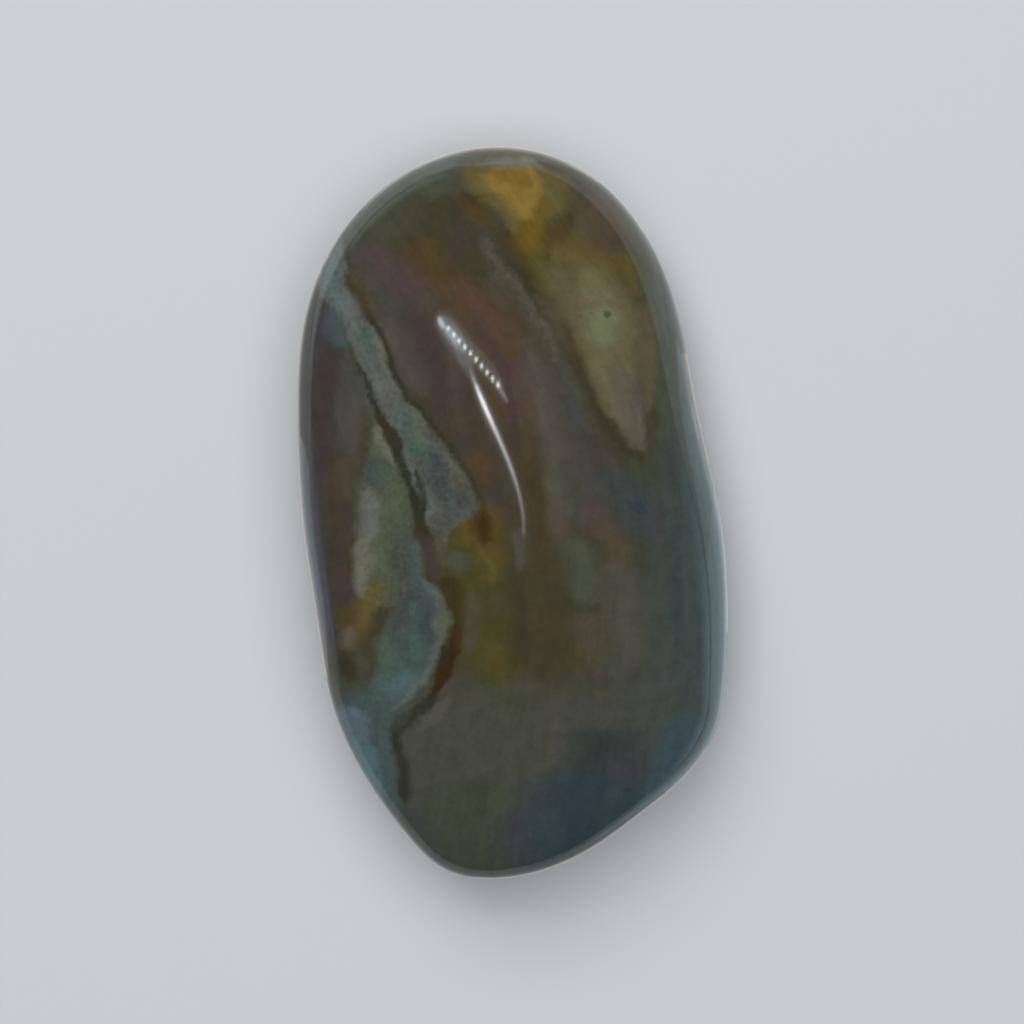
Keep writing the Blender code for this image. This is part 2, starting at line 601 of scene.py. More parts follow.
# %% Clouds of the upper field
UPPER_FIELD = (
    ("olive", 1.0, 0.9, ((-11.5, 52, 0), (-12, 47, 5), (-12, 42, 5), (-12, 37, 0))),
    ("grey olive", 1.0, 0.8, ((-16, 51, 0), (-18, 46, 4), (-19, 42, 3.5), (-18, 37, 0))),
    ("rust", 1.2, 0.75, (
        (-12.8, 41, 0), (-12.3, 38, 3), (-11.4, 35, 3), (-10.6, 32.5, 2), (-10, 30, 0),
    )),
    ("maroon", 1.0, 0.7, ((-8, 46, 0), (-7.9, 42, 1.5), (-8, 38, 1.4), (-8.6, 35, 0))),
    ("olive", 1.0, 0.8, ((-6.3, 39.5, 0), (-6.7, 37, 2.2), (-6.3, 34, 2), (-5.5, 31.5, 0))),
    ("grey", 1.0, 0.85, (
        (-24.5, 43, 0), (-23, 39, 2.6), (-21.6, 34.5, 2.6), (-19, 30.5, 2.4), (-17.5, 26, 2.2),
        (-15, 20, 1.6), (-13, 16, 0),
    )),
    ("taupe", 1.0, 0.9, (
        (-19.5, 30, 0), (-17.4, 26, 2), (-15.4, 22, 2.4), (-14, 18.5, 1.8), (-13, 15.5, 0),
    )),
    ("mauve", 1.2, 0.9, (
        (-21.8, 41.5, 0), (-19.5, 38, 2), (-16.8, 34.5, 2.5), (-14, 31.5, 2.3), (-12.9, 28, 1),
        (-12, 25, 0),
    )),
    ("brown", 1.2, 0.5, ((-23.8, 37, 0), (-22.4, 34, 1.4), (-20.6, 30, 1), (-18.8, 27, 0))),
    ("rust", 1.0, 0.85, ((-8.2, 48.5, 0), (-6.2, 45.5, 1.5), (-4.4, 43, 1.5), (-2.6, 41, 0))),
    ("moss", 1.2, 0.4, ((-4.2, 45.5, 0), (-2.6, 42.7, 1.3), (-0.8, 40.5, 0.8), (0.2, 38.5, 0))),
    ("red brown", 1.2, 0.55, (
        (-1.5, 42.5, 0), (-0.2, 40, 1.1), (0.9, 37.5, 1.3), (1.7, 35.5, 0.9), (2.6, 32.5, 0.9),
        (3.6, 30, 0),
    )),
)
coat = lay(coat, UPPER_FIELD)

# %% [markdown]
# ## The red heart
#
# Brick red and mauve mud fill the middle, under the brightest part of the polish. The clouds are
# long, and drag out to the lower right.

# %% Clouds of the red heart
RED_HEART = (
    ("umber", 1.0, 0.9, (
        (-9, 34, 0), (-6.5, 28, 5), (-3.5, 20, 6), (0, 10, 5.5), (2, 2, 4.5), (3, -6, 0),
    )),
    ("maroon", 1.0, 0.95, (
        (-14, 31, 0), (-12.8, 26, 2.6), (-10.6, 20, 3.4), (-8, 14, 3.6), (-5.4, 9, 3.4),
        (-3.6, 5, 3), (-2, 1, 2), (-1, -4, 0),
    )),
    ("rose", 1.35, 0.6, ((-9.8, 26, 0), (-8.8, 21, 1), (-8.3, 16, 1), (-7.6, 12, 0))),
    ("ochre", 1.35, 0.7, ((-9, 16, 0), (-8, 12.8, 1.2), (-6.6, 9.5, 0))),
    ("umber", 1.35, 0.6, ((-7, 20, 0), (-5.6, 14, 1), (-3.8, 9, 1), (-2.2, 5, 0))),
    ("rust", 1.35, 0.9, ((-6.3, 10, 0), (-4.7, 7, 1.6), (-3.6, 4.5, 1.3), (-2.6, 2, 0))),
    ("brick", 1.2, 0.9, (
        (-9.8, 36, 0), (-7, 32.4, 2.6), (-3.8, 28.5, 3.3), (-1.8, 24.5, 2.8), (0, 20, 2.4),
        (0.9, 15.5, 1.7), (1.4, 11, 0.9), (1.7, 6, 0),
    )),
    ("maroon", 1.2, 0.7, (
        (-6, 30.5, 0), (-4.6, 27, 0.8), (-3.2, 24, 1), (-1.2, 20, 1), (0, 15, 1), (0.6, 10, 0.8),
        (1, 6, 0),
    )),
    ("rose", 1.0, 0.7, ((0.2, 27, 0), (1.1, 22, 1.2), (1.2, 17.5, 1.1), (1.2, 14.5, 0))),
    ("ochre", 1.35, 0.8, ((-1.6, 26, 0), (-0.6, 23.4, 1), (0, 20.5, 0))),
    ("ochre", 1.35, 0.8, ((1.2, 14.5, 0), (1.8, 11, 0.8), (1.9, 8.5, 0.7), (2, 5, 0))),
    ("tan", 1.0, 0.45, ((-2.9, 36.5, 0), (-2.6, 33.8, 1.5), (-1.9, 31, 1.6), (-0.8, 28.6, 0))),
    ("brown", 1.35, 0.7, ((2.8, 33, 0), (4, 30, 1.4), (5.2, 26.5, 1.4), (6.4, 22.5, 0))),
    ("moss", 1.35, 0.6, ((-1.2, 5, 0), (-1, 3, 0.8), (-0.8, 1, 0))),
)
coat = lay(coat, RED_HEART)

# %% [markdown]
# ## The long bands
#
# Right of the heart, the bands straighten and run down the stone: taupe, umber, khaki and grey in
# turn, with a rose patch and a rusty one between them.

# %% Bands right of the middle
LONG_BANDS = (
    ("taupe", 1.0, 0.95, (
        (1.4, 28, 0), (2.9, 22, 1.3), (4.2, 17, 2.2), (5.3, 12, 2.6), (6, 8, 2), (6.4, 4, 1),
        (6.7, -2, 0.8), (6.8, -6, 0),
    )),
    ("umber", 0.75, 0.85, (
        (2.4, 14.5, 0), (2.9, 10, 0.9), (3.4, 6, 1.1), (3.8, 2, 1.2), (4.2, -3, 1.6), (4.8, -8, 2),
        (5, -13, 2.4), (5, -18, 2.4), (5, -23, 0),
    )),
    ("sage", 1.2, 0.7, ((6.2, 9, 0), (6.6, 5.5, 1.4), (6.7, 2.5, 1.2), (6.6, 0.5, 0))),
    ("tan", 1.0, 0.8, ((5.8, 3, 0), (6.3, 0, 1.3), (6.8, -3.5, 0.9), (7.3, -7, 0))),
    ("grey", 1.0, 0.9, (
        (5.4, 26, 0), (7.3, 19.5, 1.4), (9, 14, 2), (10.5, 9, 2.6), (11.3, 4, 2.8), (11, 0, 2.4),
        (10, -4, 0),
    )),
    ("sage", 1.2, 0.6, ((8, 19.5, 0), (8.9, 17, 1), (9.6, 15, 0))),
    ("slate", 1.2, 0.9, ((8.1, 16.5, 0), (8.9, 14, 0.9), (9.5, 11.5, 0))),
    ("dark umber", 1.35, 0.4, ((9.8, 13, 0), (11, 10, 0.8), (11.9, 6.5, 0.8), (12.4, 3, 0))),
    ("olive", 1.0, 0.7, ((3.4, -9, 0), (3.4, -12.6, 3.8), (3.4, -15.8, 0))),
    ("sage", 1.35, 0.8, ((8.2, 3.5, 0), (8.4, 0.5, 0.5), (8.6, -2, 0))),
    ("rose", 1.0, 0.95, ((11.5, 2.8, 0), (12, -0.5, 1.6), (12.3, -3, 1.4), (12.6, -5.5, 0))),
    ("brown", 1.2, 0.85, ((13.4, 0, 0), (14.8, -4, 1.5), (15.3, -7.5, 1.5), (15.2, -10.5, 0))),
    ("sage", 1.0, 0.85, (
        (8.6, -2, 0), (9.5, -6, 2.1), (10, -9, 2), (10.2, -12, 1.5), (10, -15.5, 0),
    )),
    ("ash", 1.0, 0.55, (
        (13.5, -6, 0), (15.3, -10, 3), (15.8, -14, 3.4), (16.4, -18, 3.2), (17, -23, 1.8),
        (17.4, -27, 0),
    )),
    ("tan", 1.35, 0.7, ((10, -13.5, 0), (10.8, -17, 2), (11.6, -20.5, 2), (11.6, -25, 0))),
    ("grey olive", 1.0, 0.8, ((14.2, -19, 0), (14.8, -23, 1.4), (15, -27, 0))),
    ("maroon", 1.2, 0.5, ((17.5, -20.5, 0), (17.8, -24, 1.1), (17.9, -27, 0))),
    ("ochre", 1.2, 0.6, ((8.8, -18, 0), (9.3, -21.5, 1.6), (9.4, -26, 0))),
    ("mauve", 1.0, 0.85, ((12.3, -22.6, 0), (12.5, -24.5, 1.1), (12.4, -26.2, 0))),
    ("olive", 1.0, 0.9, ((4.6, -18.5, 0), (5, -22, 2.6), (4.8, -26, 0))),
    ("grey", 1.2, 0.7, ((9, -25.5, 0), (10.8, -28.5, 3.6), (11.5, -31, 2.5), (11, -33, 0))),
    ("deep slate", 1.2, 0.7, (
        (11.4, -31, 0), (12.8, -34, 4.6), (12.2, -37, 4.2), (11.4, -39.6, 0),
    )),
    ("taupe", 1.35, 0.45, (
        (6.4, -27, 0), (6.9, -30.5, 0.9), (6.6, -33.5, 0.9), (5.6, -36, 0.8), (4.4, -38, 0.6),
        (3.6, -40, 0),
    )),
    ("plum slate", 1.35, 0.6, ((7.4, -32, 0), (7.5, -34.5, 0.6), (7, -37, 0))),
    ("sage", 1.35, 0.5, ((3.3, -37, 0), (3.3, -39, 1), (2.9, -41, 0))),
    ("sage", 1.35, 0.4, ((-2.2, -39.5, 0), (-2.3, -42.5, 1), (-2.2, -45.5, 0))),
    ("plum slate", 1.2, 0.75, ((20.3, 3, 0), (20.8, -1, 1.8), (20.8, -4, 1.3), (20.4, -7, 0))),
)
coat = lay(coat, LONG_BANDS)

# %% [markdown]
# ## The slate pool
#
# Below the pale lens a small dark pool of slate opens in the bands, and thin stripes run down the
# flank beside it. Two of the pool's markings lie crosswise, so they go on in a coat of their own.

# %% The slate pool below the lens, and the stripes of the right flank
SLATE_POOL = (
    ("slate", 1.0, 0.95, (
        (14, 7, 0), (15.6, 4, 3), (17, 1.5, 3.2), (17.6, -1, 2.6), (18.5, -3.5, 1.4),
        (19, -5.5, 0),
    )),
    ("teal", 0.75, 0.25, ((25.3, 9, 0), (25.4, 4, 0.8), (25.5, -1, 0))),
    ("blue slate", 1.2, 0.5, ((23.9, 2, 0), (24.1, -6, 0.7), (24.2, -15, 0.7), (24.3, -22, 0))),
    ("moss", 1.2, 0.5, ((19.9, -19.5, 0), (20, -23, 0.9), (20, -27, 0))),
    ("moss", 1.2, 0.5, ((23, -25, 0), (23.2, -29, 1.2), (23, -33, 0))),
    ("petrol", 1.2, 0.8, (
        (25.5, -28, 0), (25, -33, 1.9), (23, -37.5, 1.9), (20, -42, 1.6), (17, -45, 0),
    )),
)
coat = lay(coat, SLATE_POOL)
SLATE_POOL_CROSSWISE = (
    ("blue slate", 0.75, 0.9, ((15, 1.5, 0), (17, 0.9, 0.8), (18.6, 0.5, 1), (19.5, 0.2, 0))),
    ("moss", 1.2, 0.6, ((12.8, 5.9, 0), (15, 5.9, 0.9), (18, 5.6, 1), (21, 4.8, 1.5), (23, 4, 0))),
)
coat = lay(coat, SLATE_POOL_CROSSWISE, crosswise=True)

# %% [markdown]
# ## The yellow eye
#
# At the head of the stone an iron spring seems to have opened: a yellow eye with an orange lid,
# drawn out below into an amber tail, with a rusty corner and an olive edge. The cream band laid
# crosswise along the top rim is painted reflection: the bright floor mirrored in the steep edge.

# %% The eye and the brown corner beside it
CORNER = (
    ("brown", 0.75, 0.95, (
        (8.5, 50, 0), (11, 46, 3.8), (12.5, 43, 5), (13, 40, 5), (13.2, 37.5, 3.4),
        (13.5, 35.5, 0),
    )),
    ("sage", 1.0, 0.8, ((-10.4, 53, 0), (-10, 50.4, 4), (-11, 48, 3.4), (-12, 45.6, 0))),
    ("grey", 1.2, 0.6, ((8.4, 49.5, 0), (10, 47, 1.8), (11.4, 44.5, 0))),
    ("olive yellow", 1.0, 0.8, ((8.8, 42.4, 0), (9.2, 39.9, 1.9), (9.8, 37.6, 1.6), (10.6, 36, 0))),
    ("rust", 1.2, 0.4, ((13.4, 42, 0), (13.4, 39.5, 1.4), (12.8, 37.4, 1.4), (12.4, 35.8, 0))),
    ("rose", 1.2, 0.6, ((14.8, 43.5, 0), (15, 41, 1.2), (15.2, 38, 0))),
    ("bronze", 1.0, 0.9, ((16.4, 39.5, 0), (16.8, 35.5, 1.9), (17.6, 33, 1.5), (18.2, 30.5, 0))),
    ("sage", 1.0, 0.7, ((19.6, 35.5, 0), (20.2, 32, 1), (20.9, 28, 0.9), (21.5, 24, 0))),
)
coat = lay(coat, CORNER)
EYE = (
    ("umber", 1.0, 0.8, ((7.4, 48.4, 0), (8.1, 45.8, 1.0), (8.0, 43.6, 1.1), (7.2, 41.8, 0))),
    ("rust", 1.0, 0.85, (
        (8.2, 44, 0), (7.4, 42.4, 1.1), (6.8, 40.6, 1.3), (6.5, 38.9, 1.1), (6.3, 37.4, 0),
    )),
    ("dark umber", 1.2, 0.6, (
        (-7.4, 48.2, 0), (-6.5, 46.4, 0.9), (-5.9, 44.8, 0.8), (-4.6, 43.6, 0),
    )),
    ("rust", 1.0, 0.75, ((-6.8, 45.6, 0), (-5.6, 43.8, 1.6), (-4.8, 42.2, 1.4), (-3.6, 40.6, 0))),
    ("rust", 1.0, 0.7, ((-0.4, 41, 0), (0.6, 39, 1.3), (1.2, 37, 1.2), (1.8, 35, 0))),
    ("honey", 0.9, 0.8, (
        (-5.6, 52.6, 0), (-5.4, 51, 1.6), (-5.2, 49.4, 1.6), (-4.6, 47.6, 1.5), (-3.2, 46, 1.5),
        (-1.4, 44.6, 1.4), (-0.2, 43, 1.2), (0.6, 41.4, 0.8), (1.2, 40, 0),
    )),
    ("honey", 0.9, 0.8, (
        (3.8, 52, 0), (5, 49.8, 2.6), (5.8, 47.8, 2.3), (5.8, 45.6, 2.0), (5.4, 43.8, 1.5),
        (5, 42, 0),
    )),
    ("amber", 0.6, 0.95, (
        (2.6, 47.6, 0), (3.2, 45.8, 2.2), (3.2, 44.2, 2.5), (3, 42.8, 2.4), (2.8, 41.3, 2.1),
        (2.8, 39.8, 1.8), (3, 38.2, 1.5), (3.3, 36.6, 0),
    )),
    ("yellow", 0.3, 1.0, (
        (-0.8, 51.9, 0), (-0.6, 51.2, 2.6), (0, 50.2, 3.7), (0, 49, 4.2), (0.3, 47.8, 4.1),
        (0.9, 46.5, 3.2), (1.3, 45.3, 2.4), (1.4, 44.2, 1.8), (1.8, 43, 1.1), (2.3, 41.8, 0),
    )),
    ("olive yellow", 1.0, 0.75, (
        (3.2, 38.8, 0), (3.7, 36.8, 1.4), (4.4, 35, 1.7), (5.2, 33, 1.5), (6.2, 31, 0),
    )),
)
coat = lay(coat, EYE, seams)
EYE_AND_PAINTED_RIM_REFLECTION_CROSSWISE = (
    ("orange", 0.5, 0.95, (
        (-3.8, 50.8, 0), (-2.8, 50.4, 0.8), (-1.4, 50, 1.2), (0.2, 49.6, 1.6), (1.4, 49.2, 1.7),
        (2.3, 48.8, 1.3), (3.1, 48.4, 0),
    )),
    ("orange", 1.0, 0.6, ((0, 47.2, 0), (0.9, 46.9, 0.7), (1.9, 46.6, 0))),
    ("bronze", 1.0, 0.95, (
        (4.2, 38.4, 0), (7, 37.6, 1.7), (10.6, 36.8, 1.7), (13.6, 35.6, 1.6), (16.4, 34.4, 0),
    )),
    # The cream band is painted reflection of the bright floor in the top rim, not a colour of the
    # stone.
    ("cream", 1.0, 0.95, (
        (-6.4, 51.2, 0), (-4, 51.8, 0.6), (0, 52, 0.8), (3, 51.8, 0.7), (5, 51, 0),
    )),
)
coat = lay(coat, EYE_AND_PAINTED_RIM_REFLECTION_CROSSWISE, seams, crosswise=True)

# %% [markdown]
# ## The pale lens
#
# Under the eye hangs a long lens of paler silica, khaki and lime above and beige below, closed at
# its lower end by a dark seam.

# %% The lens and its lower end
LENS = (
    ("fawn", 1.1, 0.85, (
        (6, 37.2, 0), (6.3, 35.2, 1.7), (7, 33, 2.2), (8.2, 30, 2.2), (9, 27, 2), (9.6, 24, 1.4),
        (10, 21, 0),
    )),
    ("gold", 0.9, 0.5, ((15, 39, 0), (16.2, 36, 1.8), (17.2, 33.4, 1.4), (18, 31, 0))),
    ("khaki", 1.1, 0.8, (
        (14.2, 35, 0), (15.4, 31.6, 1.4), (16.3, 28.6, 1.9), (16.7, 25.6, 2.1), (17, 22.6, 1.8),
        (17.6, 19.6, 1.2), (18, 17, 0),
    )),
    ("khaki", 0.8, 0.95, (
        (10.2, 36.6, 0), (10.7, 35.4, 1.6), (11.2, 34, 2.5), (11.7, 32.6, 2.9), (12.2, 31.2, 3),
        (12.6, 29.6, 2.8), (12.9, 27.6, 2.6), (13.1, 25.4, 2.5), (13.3, 22.6, 2.5),
        (13.5, 20, 2.3), (14, 17.4, 2), (14.8, 14.8, 1.5), (15.6, 12.4, 0),
    )),
    ("straw", 1.0, 0.7, (
        (12.8, 20, 0), (13.4, 17.8, 1.2), (14.3, 15.4, 1.3), (15.4, 13, 1), (16.2, 11.4, 0),
    )),
    ("beige", 0.9, 0.95, (
        (15.6, 22.4, 0), (16, 19.8, 1.5), (16.4, 17, 2), (16.9, 14.6, 2.2), (17.5, 12.6, 2.1),
        (18.1, 10.6, 1.7), (18.6, 9.4, 1), (19, 8.4, 0),
    )),
    ("cream", 1.0, 0.4, ((9.4, 33.6, 0), (10.8, 32.2, 1.3), (12.4, 31, 1.2), (13.6, 30, 0))),
    ("lime", 0.9, 0.95, (
        (12.6, 31, 0), (13.2, 28.9, 1.9), (13.5, 26.6, 2), (13.6, 24.8, 1.4), (13.7, 22.8, 0),
    )),
    ("fawn", 1.0, 0.9, (
        (19, 33.5, 0), (19.7, 29, 1.2), (20.2, 25, 1.3), (20.3, 20, 1), (20, 15.5, 0.5),
        (19.8, 13, 0),
    )),
    ("ash", 1.0, 0.6, ((17.6, 22, 0), (17.8, 18.6, 0.9), (17.9, 15.5, 1), (18, 12.6, 0))),
    ("sage", 1.0, 0.8, (
        (22.2, 26, 0), (22.4, 20, 1.2), (22.5, 15, 1.3), (22.4, 11, 1.1), (22, 7.5, 0),
    )),
    ("olive", 0.9, 0.8, ((20.5, 17, 0), (20.5, 13, 0.8), (20.4, 10, 0.8), (20.4, 7.5, 0))),
    ("umber", 0.8, 0.85, (
        (6.6, 29, 0), (8, 26, 0.7), (9, 23, 0.9), (9.9, 20, 1.1), (10.8, 17.2, 1.2),
        (12, 14.5, 1.2), (13.4, 12, 1.3), (14.6, 10.2, 1.2), (16, 8.9, 0),
    )),
    ("dark line", 1.0, 0.45, (
        (8.6, 25, 0), (10, 20.5, 0.4), (11.2, 17.3, 0.6), (12.5, 14.3, 0.7), (13.7, 11.8, 0.8),
        (15, 9.9, 0.7), (16.4, 8.7, 0),
    )),
)
coat = lay(coat, LENS, seams)
LENS_CROSSWISE = (
    ("umber", 0.8, 0.7, (
        (14.6, 10.1, 0), (15.8, 8.9, 0.8), (17, 8.2, 0.9), (18.4, 7.8, 0.8), (20, 7.8, 0.5),
        (20.8, 8.2, 0),
    )),
    ("dark line", 1.0, 0.4, (
        (14.6, 10, 0), (16, 8.7, 0.6), (17.4, 8, 0.6), (19, 7.7, 0.4), (20, 7.8, 0),
    )),
)
coat = lay(coat, LENS_CROSSWISE, seams, crosswise=True)

# %% [markdown]
# ## The speckled line
#
# Left of the lens a narrow line of grey and beige grains comes down from the upper left. It is laid
# as three thin streaks, one over the other, and the grains further down speckle it.

# %% The speckled line beside the lens
SPECKLED_LINE = (
    ("grey", 1.0, 0.6, (
        (-5.4, 43, 0), (-4.4, 41, 0.9), (-3.5, 39, 1.1), (-2.6, 37, 1.3), (-1.6, 35.2, 1.5),
        (-0.4, 33.6, 1.3), (1, 31.6, 1.1), (2.4, 29.4, 1.1), (3.7, 27, 1.1), (5, 24.8, 1.1),
        (6.2, 22.4, 1), (7.2, 19.8, 0),
    )),
    ("beige", 1.35, 0.42, (
        (-4.6, 41.4, 0), (-3.6, 39.2, 0.6), (-2.6, 37.2, 0.5), (-1.2, 35, 0.6), (0.6, 32.6, 0.6),
        (2.1, 30.4, 0.5), (3.6, 28, 0.7), (4.6, 26.2, 0.6), (5.4, 24.2, 0.5), (6.2, 22.2, 0.5),
        (6.8, 20.2, 0),
    )),
    ("dark line", 1.35, 0.38, (
        (-2.6, 39.4, 0), (-1.2, 37.2, 0.4), (0.4, 35.2, 0.45), (1.7, 33.4, 0.5), (2.6, 31.4, 0.5),
        (3.6, 29.4, 0.4), (5.4, 27, 0.3), (6.6, 25, 0),
    )),
)
coat = lay(coat, SPECKLED_LINE, seams)

# %% [markdown]
# ## The left flank
#
# Down the left edge runs a dark red band. Inside it lie a grey lens and, below that, a paler one
# that turns from cream through green to teal, with an ochre stain at its foot.

# %% The left flank
PALE_LENS_BODY = ("sage", 0.14, 0.95, (
    (-20.2, 14.3, 0), (-19.7, 12, 1.1), (-19.4, 10, 1.6), (-19.2, 8, 1.9), (-19.5, 5.5, 2.9),
    (-19.4, 3, 3.7), (-18.8, 0, 3.9), (-18.3, -3, 4.2), (-18, -6, 4.9), (-18.1, -9, 5.2),
    (-18.4, -11, 5), (-19, -13, 3.4), (-20, -15, 0),
))
LEFT_FLANK = (
    ("plum slate", 0.75, 0.85, (
        (-29.5, 33, 0), (-28.8, 29, 1.8), (-28.4, 25.5, 2.6), (-29.5, 20, 1.6), (-30, 10, 1.4),
        (-30, 0, 1.8), (-28.6, -10, 1.6), (-27.2, -18, 1.4), (-26.6, -23, 0),
    )),
    ("maroon", 0.4, 0.95, (
        (-28, 26, 0), (-27.4, 21, 1.8), (-27.6, 14, 1.6), (-27.5, 8, 1.7), (-26.8, 4, 1.7),
        (-25.6, 0, 1.9), (-25, -4, 2.1), (-24.9, -9, 2), (-24.9, -13, 1.4), (-24.8, -16, 0),
    )),
    ("umber", 1.2, 0.6, (
        (-27, 9, 0), (-26.8, 5, 0.9), (-26, 1, 0.9), (-25.2, -3, 1), (-24, -8, 0.7),
        (-23.8, -12, 0),
    )),
    ("brick", 1.35, 0.35, ((-26.2, -6, 0), (-25.3, -10, 0.9), (-25, -13.5, 0))),
    ("grey", 0.3, 0.95, (
        (-25.2, 24.5, 0), (-24.3, 21.5, 1.5), (-23.6, 18, 2.5), (-23.2, 14, 3), (-23.2, 10, 2.8),
        (-23.5, 7.6, 2), (-24, 6, 0),
    )),
    ("grey olive", 1.0, 0.8, (
        (-24.6, 23.5, 0), (-23.4, 20, 1), (-22, 17, 1.4), (-21.6, 14, 1.2), (-21.7, 10, 0),
    )),
    ("taupe", 1.35, 0.6, ((-24.2, 20, 0), (-24, 15, 1.2), (-23.6, 10, 1.2), (-23.6, 7, 0))),
    ("olive", 1.0, 0.8, (
        (-22, 15.5, 0), (-21.5, 12, 1), (-21.7, 9.5, 1.1), (-22, 7.5, 0.9), (-22.3, 5.5, 0),
    )),
    ("umber", 0.9, 0.9, ((-25, 9.5, 0), (-25, 6, 1.7), (-24.5, 3, 1.8), (-24, 0, 0))),
    ("tan", 1.35, 0.6, ((-25, 8.5, 0), (-25, 5.6, 1.1), (-24.5, 2.6, 1.1), (-24, 0, 0))),
    PALE_LENS_BODY,
    ("cream", 1.0, 0.75, (
        (-20, 13.4, 0), (-19.5, 11.4, 0.8), (-18.6, 9.4, 0.8), (-17.9, 7.4, 0.4), (-17.4, 5.6, 0),
    )),
    ("green", 1.35, 0.7, ((-20, 11, 0), (-20, 9, 0.7), (-19.8, 7.4, 0))),
    ("slate", 1.0, 0.8, ((-21.3, 7.8, 0), (-21.2, 6, 1.5), (-20.8, 4.2, 1.3), (-20.4, 2.4, 0))),
    ("teal", 1.2, 0.8, ((-19.4, 8, 0), (-19.2, 5.8, 1.1), (-19.2, 3.6, 1.1), (-19, 1.8, 0))),
    ("milk", 0.75, 0.95, (
        (-21.3, 3.6, 0), (-21, 1, 1.7), (-21, -1.5, 1.8), (-21, -4, 1.2), (-21, -6, 0),
    )),
    ("green", 1.2, 0.8, (
        (-18.4, 8, 0), (-18, 5.6, 0.8), (-17.6, 2, 1.3), (-17.3, 0, 1.6), (-17.3, -2.5, 1.7),
        (-18.5, -6, 1.3), (-19.2, -9, 0.9), (-19.2, -11, 0),
    )),
    ("slate", 1.2, 0.55, (
        (-15.6, 1, 0), (-15.6, -2.5, 1), (-15.8, -5.5, 1.7), (-15.6, -8.5, 2), (-15.4, -11, 1.2),
        (-15.4, -14, 0),
    )),
    ("teal", 1.35, 0.7, (
        (-14.6, -3.5, 0), (-14.2, -5.7, 0.8), (-14.1, -8.5, 0.8), (-14, -10.5, 0),
    )),
    ("cream", 0.75, 0.9, (
        (-22, -3.2, 0), (-22, -5, 1), (-21.8, -7, 1.4), (-22.1, -9.5, 1.2), (-22.2, -12, 0.9),
        (-22, -14, 0),
    )),
    ("bronze", 1.0, 0.85, (
        (-20, -9.2, 0), (-20.4, -11.5, 1.5), (-21.2, -13.8, 1.8), (-22, -16, 1.6),
        (-22.5, -18.5, 1), (-22.5, -21, 0),
    )),
    ("rust", 1.0, 0.8, (
        (-23.6, -13.6, 0), (-24.2, -16, 1.6), (-24.5, -18, 1.2), (-24.6, -19.5, 0),
    )),
    ("beige", 1.2, 0.95, ((-23.8, -16.8, 0), (-24, -19.2, 1.3), (-24, -22, 0))),
    ("ochre", 1.2, 0.7, ((-21.6, -16.5, 0), (-21.9, -19, 1.2), (-21.6, -22.5, 0))),
    ("grey olive", 1.0, 0.8, ((-22, -20, 0), (-21.8, -23, 1.2), (-21.6, -26.5, 0))),
    ("dark umber", 1.0, 0.7, ((-24.4, -21, 0), (-24.1, -23.4, 1.3), (-23.5, -26.5, 0))),
    ("olive", 1.0, 0.9, (
        (-18.6, -12.5, 0), (-19.4, -16, 0.9), (-20.4, -20, 0.7), (-20.6, -24, 0.6), (-21, -27, 0),
    )),
)
coat = lay(coat, LEFT_FLANK, seams)

# %% [markdown]
# ## The teal vein
#
# The boldest marking is a vein of teal and pale grey silica that enters at the upper left, widens
# like a feather, and stops short in the middle. Thin dark seams bound it on both sides.

